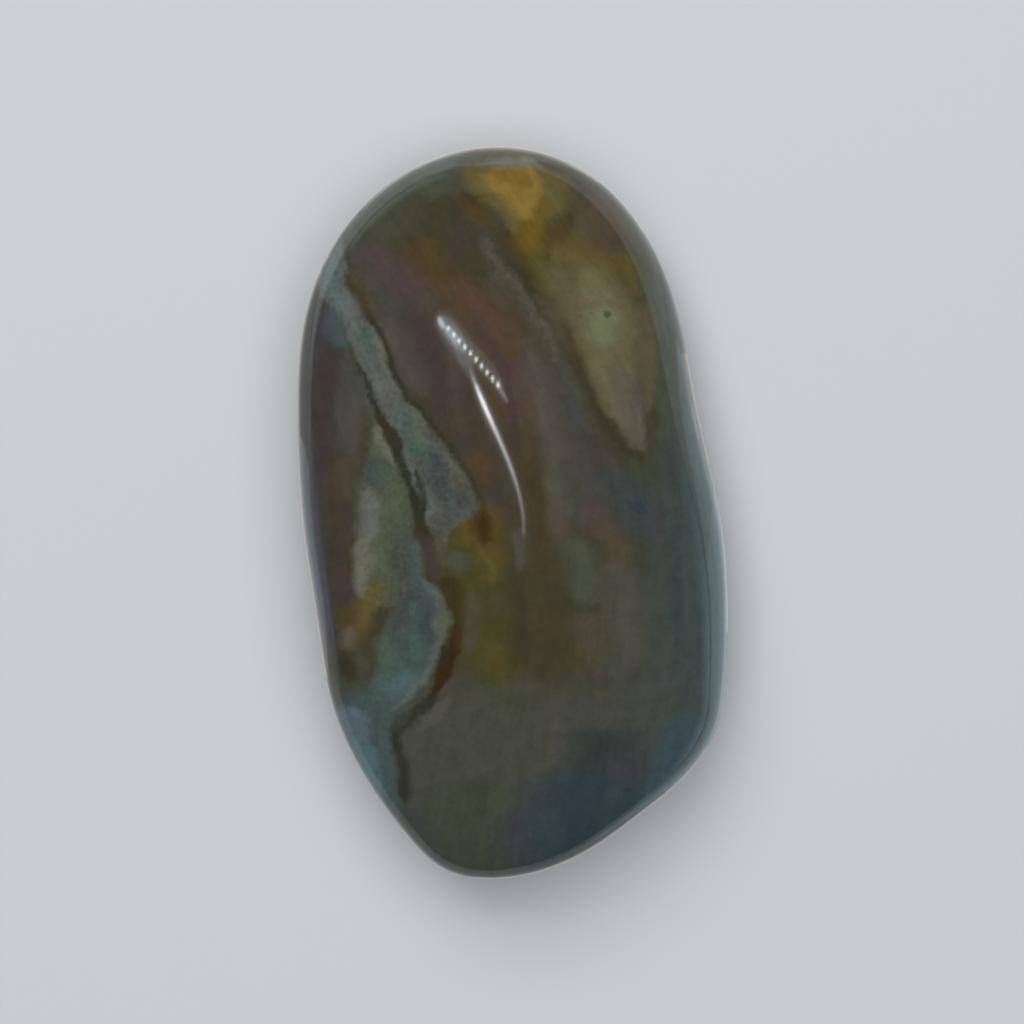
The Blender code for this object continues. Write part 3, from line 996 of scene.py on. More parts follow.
# %% The teal vein
VEIN = (
    ("pale teal", 0.14, 0.9, (
        (-25.8, 42, 0), (-26.7, 39.5, 1), (-27, 37, 1.8), (-27, 34.5, 2.1), (-26.4, 32, 2.1),
        (-24.8, 30, 2.1), (-23.3, 28, 2.3), (-22.2, 26, 2.3), (-21.2, 24, 2.4), (-20.6, 22, 2.3),
        (-20, 20, 2.2), (-19, 18, 2.3), (-17.7, 16, 2.8), (-16.2, 14, 3.1), (-14.8, 12, 3.2),
        (-13.5, 10, 3.5), (-12.5, 8, 4), (-11.6, 6, 4.4), (-10.6, 4, 4.6), (-9.9, 2, 4.7),
        (-9.4, 0, 4.3), (-9.7, -1.6, 2.8), (-10.2, -3, 1.3), (-10.4, -5, 0.7), (-10.3, -7, 0),
    )),
    ("milk", 1.2, 0.8, ((-25.2, 34, 0), (-24.6, 31, 1.4), (-23.6, 28, 1.2), (-22.4, 25, 0))),
    ("sea", 1.0, 0.4, (
        (-27.2, 39.5, 0), (-27.4, 36, 1.3), (-26.6, 32.5, 1.2), (-25.6, 29.5, 1), (-24.6, 27, 0),
    )),
    ("grey", 1.2, 0.55, ((-24.6, 33.4, 0), (-23.4, 31, 0.9), (-22.2, 28.6, 1), (-21.4, 26.4, 0))),
    ("steel", 1.0, 0.85, ((-27, 31.4, 0), (-26.2, 28, 1.3), (-25.4, 25, 1.2), (-24, 22.8, 0))),
    ("teal green", 1.0, 0.75, ((-23, 28, 0), (-21.6, 26, 1), (-20.6, 23.6, 0.9), (-20, 21.6, 0))),
    ("cream", 1.0, 0.6, (
        (-20.4, 26.5, 0), (-19.4, 24.4, 0.8), (-18.7, 22.4, 0.8), (-17.9, 20, 0.7),
        (-16.9, 18.3, 0.6), (-15.6, 16.5, 0),
    )),
    ("milk", 1.2, 0.7, ((-21.2, 21, 0), (-20.4, 19, 0.8), (-19.8, 17, 0.8), (-19, 15, 0))),
    ("teal green", 1.0, 1.0, (
        (-16, 16, 0), (-15.3, 13.5, 1), (-14.9, 11, 1.2), (-13.8, 8.8, 2.2), (-12.6, 7.4, 1.6),
        (-12, 6, 0),
    )),
    ("green", 1.0, 0.7, ((-14.8, 15.8, 0), (-13.7, 13, 0.9), (-13.2, 10.6, 0.9), (-12.4, 9, 0))),
    ("grey", 1.0, 0.7, (
        (-12.8, 13, 0), (-11.3, 11, 1), (-9.6, 8.6, 1), (-8.4, 6.6, 0.8), (-7.4, 4.8, 0),
    )),
    ("grey", 1.2, 0.75, ((-14.2, 8, 0), (-13.2, 6, 1.2), (-12.3, 4, 1), (-11.9, 2.2, 0))),
    ("slate", 0.7, 0.9, (
        (-11.4, 9, 0), (-10.9, 7.2, 1.2), (-10.6, 5, 1.5), (-10.4, 3, 1.5), (-10, 1, 1.4),
        (-9.6, -0.6, 0),
    )),
    ("grey olive", 1.0, 0.8, ((-8.8, 7, 0), (-7.9, 4.6, 1.1), (-7.2, 2.6, 1.1), (-6.6, 0.8, 0))),
    ("grey teal", 1.2, 0.9, ((-9.4, 3.4, 0), (-8.4, 1.2, 1.2), (-8.1, -0.8, 1), (-8.2, -2.2, 0))),
    ("plum slate", 1.2, 0.8, ((-6.9, 2.6, 0), (-6.8, 0.9, 0.8), (-6.7, -0.6, 0))),
    ("grey olive", 1.0, 0.8, ((-9.6, 0.6, 0), (-9.9, -1.4, 1.5), (-10.3, -3, 1), (-10.4, -4.8, 0))),
    ("ash", 1.0, 0.75, ((-21, 18, 0), (-19.6, 16, 1.2), (-18.3, 14.6, 1.3), (-17.2, 13, 0))),
    ("beige", 1.0, 0.5, ((-9.9, 9.4, 0), (-9.2, 7.6, 0.4), (-8.2, 5.8, 0.4), (-7.3, 4.4, 0))),
    ("tan", 1.2, 0.8, ((-5.6, 3.4, 0), (-5.4, 0.8, 0.6), (-5.6, -1.4, 0.7), (-6.2, -3, 0))),
    ("tan", 1.0, 0.8, ((-11.4, -1.6, 0), (-10.6, -4, 0.8), (-10.2, -6.5, 0.8), (-10, -9.4, 0))),
)
coat = lay(coat, VEIN, seams)

# %% [markdown]
# ## The seams
#
# The seams are laid after the vein, so that they cover its soft edges and make them crisp, just as
# the dark skin closed round the silica in the rock.

# %% The dark seams of the vein
SEAMS = (
    ("umber", 0.8, 0.9, (
        (-25.9, 36.4, 0), (-24.4, 34, 0.6), (-23.2, 32, 0.7), (-22.4, 30.4, 0.7),
        (-21.1, 28.4, 0.7), (-19.5, 26.2, 0.6), (-18.6, 24, 0.6), (-18, 21.8, 0.6),
        (-17.6, 19.9, 0.6), (-16.7, 18.4, 0.6), (-15.8, 17, 0.5), (-14.3, 15.5, 0.5),
        (-12.6, 14, 0.6), (-11.2, 12.3, 0.6), (-9.9, 10.6, 0.6), (-8.7, 8.7, 0.6),
        (-7.5, 6.7, 0.6), (-6.3, 4.9, 0.6), (-5.4, 3.2, 0.6), (-4.7, 1.6, 0.6), (-4.4, 0, 0.6),
        (-4.4, -1.4, 0),
    )),
    ("dark line", 1.0, 0.7, (
        (-22, 30, 0), (-21, 28.2, 0.35), (-19.5, 26.2, 0.35), (-18.6, 24, 0.3), (-18, 21.8, 0.3),
        (-17.6, 19.9, 0.5), (-16.7, 18.4, 0.5), (-15.8, 17, 0.45), (-14.3, 15.5, 0.35),
        (-12.6, 14, 0.5), (-11.2, 12.3, 0.35), (-9.9, 10.6, 0.45), (-8.7, 8.7, 0.45),
        (-7.5, 6.7, 0.4), (-6.3, 4.9, 0.45), (-5.4, 3.2, 0.4), (-4.7, 1.6, 0.4), (-4.4, 0, 0.35),
        (-4.4, -1.4, 0),
    )),
    ("dark line", 1.0, 0.75, (
        (-14.6, 6.6, 0), (-14.1, 4.8, 0.5), (-13.5, 2.8, 0.5), (-13.1, 0.6, 0.5), (-12.8, -1.6, 0),
    )),
    ("dark line", 0.5, 0.95, (
        (-23.6, 23, 0), (-22.3, 20.6, 0.4), (-21, 18.2, 0.5), (-20.1, 16.1, 0.5),
        (-19.3, 14.4, 0.6), (-18.5, 12.8, 0.9), (-17.6, 11.2, 1), (-17.1, 9.6, 0.85),
        (-16.7, 7.6, 0.8), (-16.2, 5.6, 0.7), (-15.4, 3.6, 0.7), (-14.6, 1.8, 0.8),
        (-13.9, 0.2, 1.1), (-13.2, -1.8, 0.6), (-12.8, -3, 0),
    )),
    ("dark umber", 0.6, 0.85, (
        (-19.9, 15.6, 0), (-19, 13.4, 0.7), (-18.2, 12, 1), (-17.5, 10.4, 0.9), (-17, 8.4, 0),
    )),
    ("dark umber", 0.6, 0.8, ((-13.6, 0, 0), (-13.1, -2, 1), (-12.6, -4, 1), (-12.1, -6.6, 0))),
    ("maroon", 0.6, 0.9, (
        (-12.9, -2.6, 0), (-12.3, -4.8, 1), (-12, -7, 1), (-11.6, -9.2, 0.8), (-11, -11, 0),
    )),
)
coat = lay(coat, SEAMS, seams)

# %% [markdown]
# ## The pond
#
# Below the vein lies a swirl of teal and lilac silica, like a little pond, that drains away to a
# clear sea blue at the lower left edge. A pale rim and a crisp red brown seam close it on the right.

# %% The pond
POND = (
    ("teal", 0.2, 0.95, (
        (-13.4, -9.2, 0), (-13.6, -11.5, 2), (-14, -14, 3), (-14.4, -17, 4), (-15.2, -20, 4.5),
        (-15.7, -22.5, 4.1), (-16.8, -25, 3.9), (-18.6, -27.4, 4.1), (-20.3, -29.5, 3.8),
        (-21.2, -32, 3.6), (-21, -35, 3.4), (-20.2, -38, 2.8), (-19.2, -41, 2.4), (-18, -44, 2),
        (-17.2, -47, 0),
    )),
    ("grey", 1.0, 0.8, (
        (-16, -9.5, 0), (-15.7, -12, 0.9), (-16, -15, 1.2), (-17, -18, 1), (-18, -20, 0),
    )),
    ("green", 1.2, 0.6, ((-18.4, -17, 0), (-19, -19, 0.8), (-18.8, -21.5, 1.3), (-18.6, -24, 0))),
    ("slate", 1.2, 0.8, ((-14.6, -10, 0), (-14.4, -12.5, 1), (-14.3, -15, 0.8), (-14.6, -17, 0))),
    ("sea", 1.2, 0.3, ((-14.5, -13.2, 0), (-14.3, -14.8, 0.7), (-14.2, -16.2, 0))),
    ("slate", 1.2, 0.7, ((-12.6, -12.4, 0), (-12.2, -15, 0.9), (-12, -18, 0.9), (-12.4, -21, 0))),
    ("teal green", 1.2, 0.8, (
        (-13.9, -17.2, 0), (-14.1, -19.2, 1.1), (-14.2, -21.5, 0.8), (-14.4, -23.5, 0),
    )),
    ("slate", 1.2, 0.7, ((-16.2, -17.6, 0), (-16, -19.8, 1), (-16, -21.4, 0))),
    ("teal green", 1.2, 0.7, (
        (-18, -20.6, 0), (-17.6, -22.8, 1.8), (-18.4, -25, 1.6), (-19.6, -27.4, 1.2),
        (-20.4, -29.4, 0),
    )),
    ("sea", 1.2, 0.5, ((-14.8, -22.6, 0), (-15.6, -25, 1.5), (-17, -27, 1), (-18.4, -29, 0))),
    ("steel", 1.2, 0.8, ((-24, -26, 0), (-23.2, -28.6, 1.6), (-22.6, -30.6, 1.4), (-22, -32.4, 0))),
    ("sky", 0.8, 0.95, ((-24.8, -28.2, 0), (-23.7, -31, 2.2), (-22.9, -33.5, 2), (-22, -35.6, 0))),
    ("sea", 0.8, 0.95, (
        (-23, -33.4, 0), (-22.2, -36, 1.9), (-21.2, -38.4, 1.7), (-20, -41, 1.3), (-18.6, -44, 0),
    )),
    ("steel", 1.2, 0.6, (
        (-20.6, -31, 0), (-19.4, -34, 1), (-18.4, -37, 1), (-17.8, -40, 0.9), (-17.2, -43, 0),
    )),
    ("pale teal", 0.75, 0.7, (
        (-13.8, -9.6, 0), (-12.4, -11.2, 0.6), (-11.2, -13, 0.8), (-10.5, -15.2, 0.8),
        (-10.5, -17.8, 0.7), (-11, -20.4, 0.6), (-11.8, -22.8, 0.6), (-13.2, -24.8, 0.6),
        (-15, -27, 0.6), (-16.8, -28.8, 0.6), (-18.4, -30.4, 0),
    )),
    ("green", 1.2, 0.9, ((-10.2, -14, 0), (-9.9, -16.2, 0.9), (-10.2, -18, 0))),
)
coat = lay(coat, POND, seams)

# %% [markdown]
# ## The red brown seam
#
# Iron gathered where the pond stopped, and left a crisp line that wanders down its right side. Most
# of it runs along the stone, and its two level turns are laid crosswise.

# %% The red brown seam
RED_SEAM = (
    ("dark umber", 0.6, 0.9, (
        (-10.1, -9.6, 0), (-9.8, -11.2, 1), (-9.3, -13.4, 0.7), (-8.9, -15.6, 0),
    )),
    ("rust", 0.5, 0.4, (
        (-8.4, -9.2, 0), (-8, -11, 1.1), (-7.9, -14, 1), (-7.9, -17, 1), (-8.3, -20, 1),
        (-8.9, -22, 0),
    )),
    ("red brown", 0.45, 1.0, (
        (-8.4, -9.4, 0), (-8.3, -11, 1), (-8.1, -13.5, 0.95), (-8, -16.2, 0.9),
        (-8.2, -18.8, 0.95), (-8.8, -20.8, 0.9), (-9.7, -22.6, 0.9), (-10.2, -24.2, 1),
        (-11, -25.8, 0.8), (-11.7, -27, 0.5), (-12.2, -28, 0),
    )),
    ("dark line", 0.6, 0.8, ((-9.8, -18.8, 0), (-9.8, -21, 0.7), (-9.6, -23, 0))),
    ("dark line", 0.5, 0.85, (
        (-10.9, -25.4, 0), (-11.9, -27.2, 0.9), (-13, -28.8, 1.2), (-14.5, -30.1, 1.3),
        (-15.9, -31.3, 1.3), (-16.8, -32.8, 1), (-16.8, -35, 0.9), (-16.3, -37.4, 0.9),
        (-15.8, -39.6, 0.9), (-15.5, -42, 0.8), (-15.4, -44.5, 0),
    )),
    ("slate", 0.7, 0.5, ((-14.2, -29, 0), (-15.8, -30.6, 0.9), (-17, -32, 0.9), (-17.6, -33.6, 0))),
    ("rose", 0.8, 0.9, ((-9.4, -24.9, 0), (-9.8, -26.2, 0.6), (-10.5, -27.2, 0))),
    ("ash", 0.7, 0.6, (
        (-9.2, -26.6, 0), (-10.2, -28.4, 0.9), (-11.4, -30.4, 1), (-12.8, -31.8, 0.9),
        (-14.4, -32.8, 0),
    )),
)
coat = lay(coat, RED_SEAM, seams)
RED_SEAM_CROSSWISE = (
    ("red brown", 0.5, 0.8, (
        (-10.8, -10.6, 0), (-9.6, -10.6, 0.7), (-8.2, -10.4, 0.7), (-6.8, -10.2, 0),
    )),
    ("brick", 0.7, 0.6, ((-9, -9.7, 0), (-8, -9.8, 0.25), (-6.8, -9.9, 0))),
)
coat = lay(coat, RED_SEAM_CROSSWISE, seams, crosswise=True)

# %% [markdown]
# ## The orange core
#
# Where the vein stops, rust has soaked out of it: a small orange core, then gold, then a long
# olive yellow apron that reaches down to the foot of the stone. The rust fades as it goes, so the
# markings are laid from the broad olive yellow to the small orange. A pale ash streak among them is
# painted highlight: the faint tail of the tube's mirrored streak, below where its lamps end.

# %% The core and the apron
APRON_AND_PAINTED_HIGHLIGHT = (
    ("dull gold", 0.75, 0.9, (
        (-6, -0.5, 0), (-6, -4, 2.4), (-5.6, -8, 3.2), (-4.6, -12, 3.4), (-4, -16, 3.6),
        (-3.2, -20, 3.6), (-2.8, -24, 3), (-2, -27, 0),
    )),
    ("olive yellow", 1.2, 0.7, (
        (-4.6, -4.6, 0), (-3.9, -7, 1.4), (-3.2, -9.6, 1.4), (-2.8, -12, 0),
    )),
    ("gold", 1.1, 0.7, (
        (-3.8, 2.5, 0), (-3, -1, 1.9), (-2.7, -4, 1.7), (-2.2, -7, 1.2), (-1.6, -10, 0),
    )),
    ("gold", 1.0, 0.9, ((-7.6, 0, 0), (-6.6, -2, 1.2), (-6.4, -4, 1.5), (-6.6, -6, 0))),
    ("rust", 1.35, 0.7, ((-4.1, 1.8, 0), (-4.3, -1.4, 1.2), (-4, -4.4, 1.1), (-3.2, -7, 0))),
    ("red brown", 1.2, 0.9, (
        (-4.7, 1.8, 0), (-4.5, -0.6, 0.7), (-4.4, -2.6, 1.2), (-4, -4, 0.8), (-3.6, -5.4, 0),
    )),
    ("bronze", 1.35, 0.3, ((-6.4, -3.2, 0), (-4.8, -5.8, 0.5), (-3.6, -8, 0.6), (-2.2, -9.8, 0))),
    ("sage", 1.2, 0.8, ((-7.6, -5.4, 0), (-7.8, -7.6, 1.5), (-7.6, -9.8, 0))),
    ("tan", 1.2, 0.7, ((-6, -10, 0), (-6.2, -14, 1), (-6.4, -18, 1), (-6.4, -22, 0))),
    ("moss", 1.35, 0.5, ((-2.4, -12.5, 0), (-2.4, -14.5, 0.8), (-2.4, -17, 0))),
    ("gold", 1.35, 0.5, ((-2, -18.5, 0), (-2, -22, 1.4), (-1.8, -25.5, 0))),
    # The ash streak is painted highlight: the faint tail of the tube's mirrored streak, below where
    # its lamps end.
    ("ash", 1.0, 0.55, ((1.3, -1.5, 0), (1.4, -4, 0.9), (1.4, -7, 0.8), (1.2, -10, 0))),
    ("dark umber", 1.2, 0.3, (
        (0.9, -9.5, 0), (1.1, -13, 1), (1, -17, 1.1), (1.1, -21, 1.1), (1.2, -24.5, 0),
    )),
    ("rust", 1.35, 0.5, ((0.9, -21, 0), (1, -23, 0.7), (1.1, -25, 0))),
)
coat = lay(coat, APRON_AND_PAINTED_HIGHLIGHT)
APRON_CROSSWISE = (
    ("tan", 1.35, 0.5, ((-3.6, -25.8, 0), (-1, -25.6, 0.7), (2, -25.4, 0.9), (5, -25.3, 0))),
    ("moss", 1.2, 0.7, ((-4.4, -28.4, 0), (0, -28.2, 1.2), (5, -28.2, 0))),
)
coat = lay(coat, APRON_CROSSWISE, crosswise=True)
print("nodes with all the markings:", len(Wire.tree.nodes))

# %% [markdown]
# ## Grains
#
# Close up, the silica of the vein, of the pond, of the left lens and of the speckled line is full of
# grains, some light and some dark, while the muds between them are smooth. Grains could be scattered
# one by one, but one fine noise gives both sorts, and it is told where to act by the same streaks
# that laid those bodies down. The wisps and a cloudy mottle then lighten and darken it all a little.

# %% Grains, wisps and mottle
GRAIN_SIZE = 0.7  # mm
MOTTLE_SIZE = 2.4
POND_GRAIN = 0.4  # how grainy the pond is, beside the vein
LENS_GRAIN = 0.6
GRAIN_REACH = 0.22  # from the middle of the noise to a full grain
LIGHT_GRAIN = 0.2  # strength
DARK_GRAIN = 0.24
WISP_SHADE = 0.4  # how much each lightens and darkens the coat
MOTTLE_SHADE = 0.5
GRAIN_SHADE = 0.25
grains = noise(place, GRAIN_SIZE, detail=2.0, roughness=0.6)
mottle = noise(ragged, MOTTLE_SIZE, detail=3.0, roughness=0.62)
vein_body, pond_body, lens_body = streaks((VEIN[0], POND[0], PALE_LENS_BODY), seams)
(line_body,) = streaks(SPECKLED_LINE[:1], seams)
grainy = vein_body + line_body + pond_body * POND_GRAIN + lens_body * LENS_GRAIN
light_grains = rise(grains, NOISE_MIDDLE, NOISE_MIDDLE + GRAIN_REACH)
dark_grains = rise(grains, NOISE_MIDDLE, NOISE_MIDDLE - GRAIN_REACH)
coat = mix(light_grains * grainy * LIGHT_GRAIN, coat, tube("cream"))
coat = mix(dark_grains * grainy * DARK_GRAIN, coat, tube("dark umber"))
wisp_shade = (wisps - NOISE_MIDDLE) * WISP_SHADE
mottle_shade = (mottle - NOISE_MIDDLE) * MOTTLE_SHADE
grain_shade = (grains - NOISE_MIDDLE) * GRAIN_SHADE
coat = scaled(coat, 1 + wisp_shade + mottle_shade + grain_shade)
print("grains of", GRAIN_SIZE, "mm and a mottle of", MOTTLE_SIZE, "mm")

# %% [markdown]
# ## Specks
#
# A few dark specks of chlorite sit in the pale lens and the eye. Each is a distance from one spot,
# faded out over its outer part.

# %% Specks
SPECK_CORE = 0.3  # share of the radius that is fully dark
SPECKS = (  # mm across, mm along, radius in mm, strength
    (13.7, 28.7, 0.75, 0.75),
    (17.4, 41.6, 0.35, 0.5),
    (11.5, 48.5, 0.35, 0.4),
)
flat_place = joined(across, along, 0.0)
for speck_across, speck_along, radius, strength in SPECKS:
    away = vector_sum("DISTANCE", flat_place, (speck_across, speck_along, 0), output="Value")
    speck = rise(away, radius, radius * SPECK_CORE) * strength
    coat = mix(speck, coat, tube("moss dark"))
print("specks:", len(SPECKS))

# %% [markdown]
# ## The polish
#
# Jasper is quartz, so its polish is a plain clear surface with quartz's bend of light, and almost
# no roughness. All the colour goes in as the base colour, and nothing is raised: the polish runs
# level over every marking, as it does on the real stone.

# %% Finish the polish
POLISH_ROUGHNESS = 0.05
QUARTZ_IOR = 1.54
skin = Wire.tree.nodes["Principled BSDF"]
Wire.tree.links.new(coat.socket, skin.inputs["Base Color"])
skin.inputs["Roughness"].default_value = POLISH_ROUGHNESS
skin.inputs["IOR"].default_value = QUARTZ_IOR
print("jasper nodes:", len(Wire.tree.nodes))

# %% [markdown]
# ## The floor and the camera
#
# The stone lies on a plain pale floor. The camera looks straight down from above, through a long
# lens, so that the outline is seen almost without perspective. Its distance follows from how wide a
# strip of the bench it has to show.

# %% The floor
FLOOR_SIZE = 6.0  # metres
FLOOR_COLOUR = (0.74, 0.75, 0.76)
FLOOR_ROUGHNESS = 0.85
FLOOR_SHEEN = 0.2
bpy.ops.mesh.primitive_plane_add(size=FLOOR_SIZE)
floor = bpy.context.object
floor.name = "floor"
floor_finish = bpy.data.materials.new("pale_floor")
floor_finish.use_nodes = True
floor_shader = floor_finish.node_tree.nodes["Principled BSDF"]
floor_shader.inputs["Base Color"].default_value = (*FLOOR_COLOUR, 1)
floor_shader.inputs["Roughness"].default_value = FLOOR_ROUGHNESS
floor_shader.inputs["Specular IOR Level"].default_value = FLOOR_SHEEN
floor.data.materials.append(floor_finish)
print("floor:", FLOOR_SIZE, "m square")

# %% The camera
CAMERA_LENS = 100.0
CAMERA_SENSOR = 36.0
CAMERA_ASIDE = (-0.1, -0.3)  # mm from the middle of the stone
VIEW_WIDTH = 154.2 * MM  # what the camera sees at the height of the girdle
camera_height = GIRDLE_HEIGHT * MM + VIEW_WIDTH * CAMERA_LENS / CAMERA_SENSOR
camera_data = bpy.data.cameras.new("camera")
camera_data.lens = CAMERA_LENS
camera_data.sensor_width = CAMERA_SENSOR
camera = bpy.data.objects.new("camera", camera_data)
camera.location = (CAMERA_ASIDE[0] * MM, CAMERA_ASIDE[1] * MM, camera_height)
bpy.context.scene.collection.objects.link(camera)
bpy.context.scene.camera = camera
bpy.context.scene.view_settings.view_transform = "Standard"
print("camera height:", camera_height, "m")

# %% [markdown]
# ## What the polish mirrors
#
# A polished stone is mostly seen by what it mirrors. Two lamps hang over the bench: a bare tube, and
# a row of small bulbs in a holder that glows at one end. Their streaks could be found by moving
# lamps until they look right. Instead the script works backwards: from a place on the stone where
# a streak should be, it follows the ray from the camera, bounces it off the polish, and finds
# where that ray meets the height of the lamps.

# %% Find where a mirrored lamp must hang
LAMP_HEIGHT = 1.0  # metres above the floor, and so well behind the camera
stone_faces = BVHTree.FromObject(stone, bpy.context.evaluated_depsgraph_get())


def mirrored_spot(x, y):
    """Where a lamp must be for the camera to see it mirrored at (x, y) mm on the stone."""
    over = Vector((x * MM, y * MM, LAMP_HEIGHT))
    top = stone_faces.ray_cast(over, Vector((0, 0, -1)))[0]
    ray = (top - camera.location).normalized()
    seen, _, face, _ = stone_faces.ray_cast(camera.location, ray)
    corners = [stone.data.vertices[i] for i in stone.data.polygons[face].vertices]
    weights = poly_3d_calc([corner.co for corner in corners], seen)
    normal = sum((corner.normal * weight for corner, weight in zip(corners, weights)), Vector())
    back = ray.reflect(normal.normalized())
    return seen + back * (LAMP_HEIGHT - seen.z) / back.z


def smooth_spots(streak_points, count, bends=3):
    """That many lamp places along a smooth curve through a streak's mirrored spots."""
    spots = np.array([mirrored_spot(x, y) for x, y in streak_points])
    steps = np.append(0, np.cumsum(np.linalg.norm(np.diff(streak_points, axis=0), axis=1)))
    shares = np.linspace(0, 1, count)
    fits = [np.polyfit(steps / steps[-1], spots[:, side], bends) for side in range(3)]
    return np.column_stack([np.polyval(fit, shares) for fit in fits])


print("a lamp seen in the middle of the stone hangs at", tuple(mirrored_spot(0, 0)))


# %% Hang a lamp
AIM = Vector((0, 0, 0.02))  # metres; every lamp faces this point, inside the stone's crown
print("lamps face", tuple(AIM))


def add_lamp(name, start, end, width, radiance, colour, shape="RECTANGLE", in_polish=True):
    """A flat lamp from start to end, facing the stone, of that radiance."""
    start, end = Vector(start), Vector(end)
    middle = (start + end) / 2
    length = (end - start).length
    light = bpy.data.lights.new(name, "AREA")
    light.shape = shape
    light.size = length
    light.size_y = width
    light.color = colour
    area = length * width * (math.pi / 4 if shape == "ELLIPSE" else 1)
    light.energy = radiance * math.pi * area
    lamp = bpy.data.objects.new(name, light)
    along_lamp = (end - start).normalized()
    back = (middle - AIM).normalized()
    back = (back - along_lamp * back.dot(along_lamp)).normalized()
    lamp.matrix_world = Matrix((along_lamp, back.cross(along_lamp), back)).transposed().to_4x4()
    lamp.location = middle
    lamp.visible_camera = False
    lamp.visible_glossy = in_polish
    bpy.context.scene.collection.objects.link(lamp)


# %% [markdown]
# ## The tube
#
# The tube is a bare straight lamp, and the swell of the polish bends its image into a long streak.
# Short flat lamps, end to end along the mirrored spots, keep that bend. How bright and how wide
# they are follows two short lists, since the streak is brightest near its far end.

# %% The tube
TUBE_STREAK = (  # mm on the stone, from its far end
    (-6.3, 20.6),
    (-5.0, 17.3),
    (-3.95, 14.85),
    (-2.7, 11.95),
    (-1.4, 8.9),
    (-0.4, 6.4),
    (0.4, 4.2),
    (1.0, 2.2),
    (1.4, 0.2),
    (1.6, -3.6),
)
TUBE_GLOW = (  # share of the way down, brightness
    (0, 0.04),
    (0.07, 0.25),
    (0.13, 0.85),
    (0.2, 1.15),
    (0.28, 0.95),
    (0.38, 0.6),
    (0.5, 0.45),
    (0.65, 0.34),
    (0.77, 0.2),
    (0.9, 0.13),
    (1, 0.07),
)
TUBE_WIDTH = (  # share of the way down, width in metres
    (0, 0.006),
    (0.12, 0.009),
    (0.24, 0.011),
    (0.45, 0.0085),
    (0.7, 0.0085),
    (1, 0.009),
)
TUBE_PARTS = 20
TUBE_RADIANCE = 26.0
LAMP_COLOUR = (0.9, 0.95, 1.0)
tube_places = smooth_spots(TUBE_STREAK, TUBE_PARTS + 1)
for part in range(TUBE_PARTS):
    share = (part + 0.5) / TUBE_PARTS
    glow = float(np.interp(share, *zip(*TUBE_GLOW)))
    width = float(np.interp(share, *zip(*TUBE_WIDTH)))
    start, end = tube_places[part], tube_places[part + 1]
    add_lamp(f"tube_{part}", start, end, width, TUBE_RADIANCE * glow, LAMP_COLOUR)
print("tube length:", np.linalg.norm(np.diff(tube_places, axis=0), axis=1).sum())

# %% [markdown]
# ## The row of bulbs
#
# Beside the far end of the tube's streak, a row of small round bulbs is mirrored as a string of
# points. Their holder glows round them, most at its upper end, and several soft ellipses, each
# larger and dimmer than the last, make that glow.

# %% The row of bulbs
ROW_STREAK = (  # mm on the stone
    (-9.5, 26.5),
    (-8.5, 25.6),
    (-7.5, 24.6),
    (-6.75, 23.6),
    (-6.0, 22.6),
    (-5.2, 21.6),
    (-4.3, 20.7),
    (-3.4, 19.7),
    (-2.1, 18.2),
)
ROW_COUNT = 10
ROW_SIZE = 0.013  # metres
ROW_RADIANCE = 22.0
for bulb, place in enumerate(smooth_spots(ROW_STREAK, ROW_COUNT, 2)):
    half = Vector((ROW_SIZE / 2, 0, 0))
    ends = Vector(place) - half, Vector(place) + half
    add_lamp(f"bulb_{bulb}", *ends, ROW_SIZE, ROW_RADIANCE, LAMP_COLOUR, "ELLIPSE")
print("bulbs:", ROW_COUNT)

# %% The glow of the holder
GLOWS = (  # where each glow starts and ends on the stone, its width and its radiance
    ((-10.9, 28.2), (-10.0, 26.6), 0.020, 9.0),
    ((-10.0, 26.9), (-7.7, 24.2), 0.030, 4.0),
    ((-10.9, 28.3), (-6.8, 23.2), 0.060, 1.8),
    ((-11.2, 28.9), (-5.6, 21.2), 0.095, 0.7),
    ((-8.8, 25.2), (-5.4, 18.6), 0.040, 1.2),
    ((-7.4, 24.8), (-1.4, 17.8), 0.050, 0.9),
    ((-2.5, 18.8), (-0.7, 15.6), 0.014, 3.6),
)
GLOW_COLOUR = (0.78, 0.88, 1.0)
for number, (start, end, width, radiance) in enumerate(GLOWS):
    ends = mirrored_spot(*start), mirrored_spot(*end)
    add_lamp(f"glow_{number}", *ends, width, radiance, GLOW_COLOUR, "ELLIPSE")
print("glows:", len(GLOWS))

# %% [markdown]
# ## The light that shows the colours
#
# The lamps above are small, and light little. The colours are shown by a broad soft box at the upper
# left and a panel overhead, both kept out of the polish so that they lay no veil on the crown. The
# rim of the stone leans so far over that it mirrors the floor, and just inside it the horizon of the
# room. So a few pale lit cards lie on the floor round the stone, the larger ones at the right.

# %% The soft box and the ceiling panel
PANELS = (  # name, start and end in metres, width, radiance and colour
    ("soft_box", (-0.65, 0.6, 1.0), (0.15, 0.6, 1.0), 0.6, 2.9, (1, 0.985, 0.96)),
    ("ceiling_panel", (-0.6, 0.0, 1.5), (0.8, 0.0, 1.5), 1.4, 2.35, (0.96, 0.98, 1)),
)
for panel in PANELS:
    add_lamp(*panel, in_polish=False)
print("panels:", len(PANELS))

# %% The cards on the floor
CARD_HEIGHT = 0.0005  # metres; just clear of the floor
CARDS = (  # name, left and right, near and far, and the light that it sends up in red, green, blue
    ("right_long", 0.040, 0.60, -0.130, 0.005, (0.20, 0.33, 0.38)),
    ("right_middle", 0.042, 0.45, -0.100, 0.020, (0.20, 0.33, 0.38)),
    ("right_short", 0.044, 0.30, -0.070, 0.032, (0.20, 0.33, 0.38)),
    ("left", -0.140, -0.050, -0.030, 0.012, (0.38, 0.47, 0.62)),
    ("far_left", -0.250, -0.012, 0.058, 0.250, (0.30, 0.42, 0.45)),
    ("far", -0.012, 0.018, 0.058, 0.200, (0.30, 0.29, 0.24)),
    ("far_right", 0.018, 0.100, 0.045, 0.100, (0.13, 0.17, 0.17)),
)


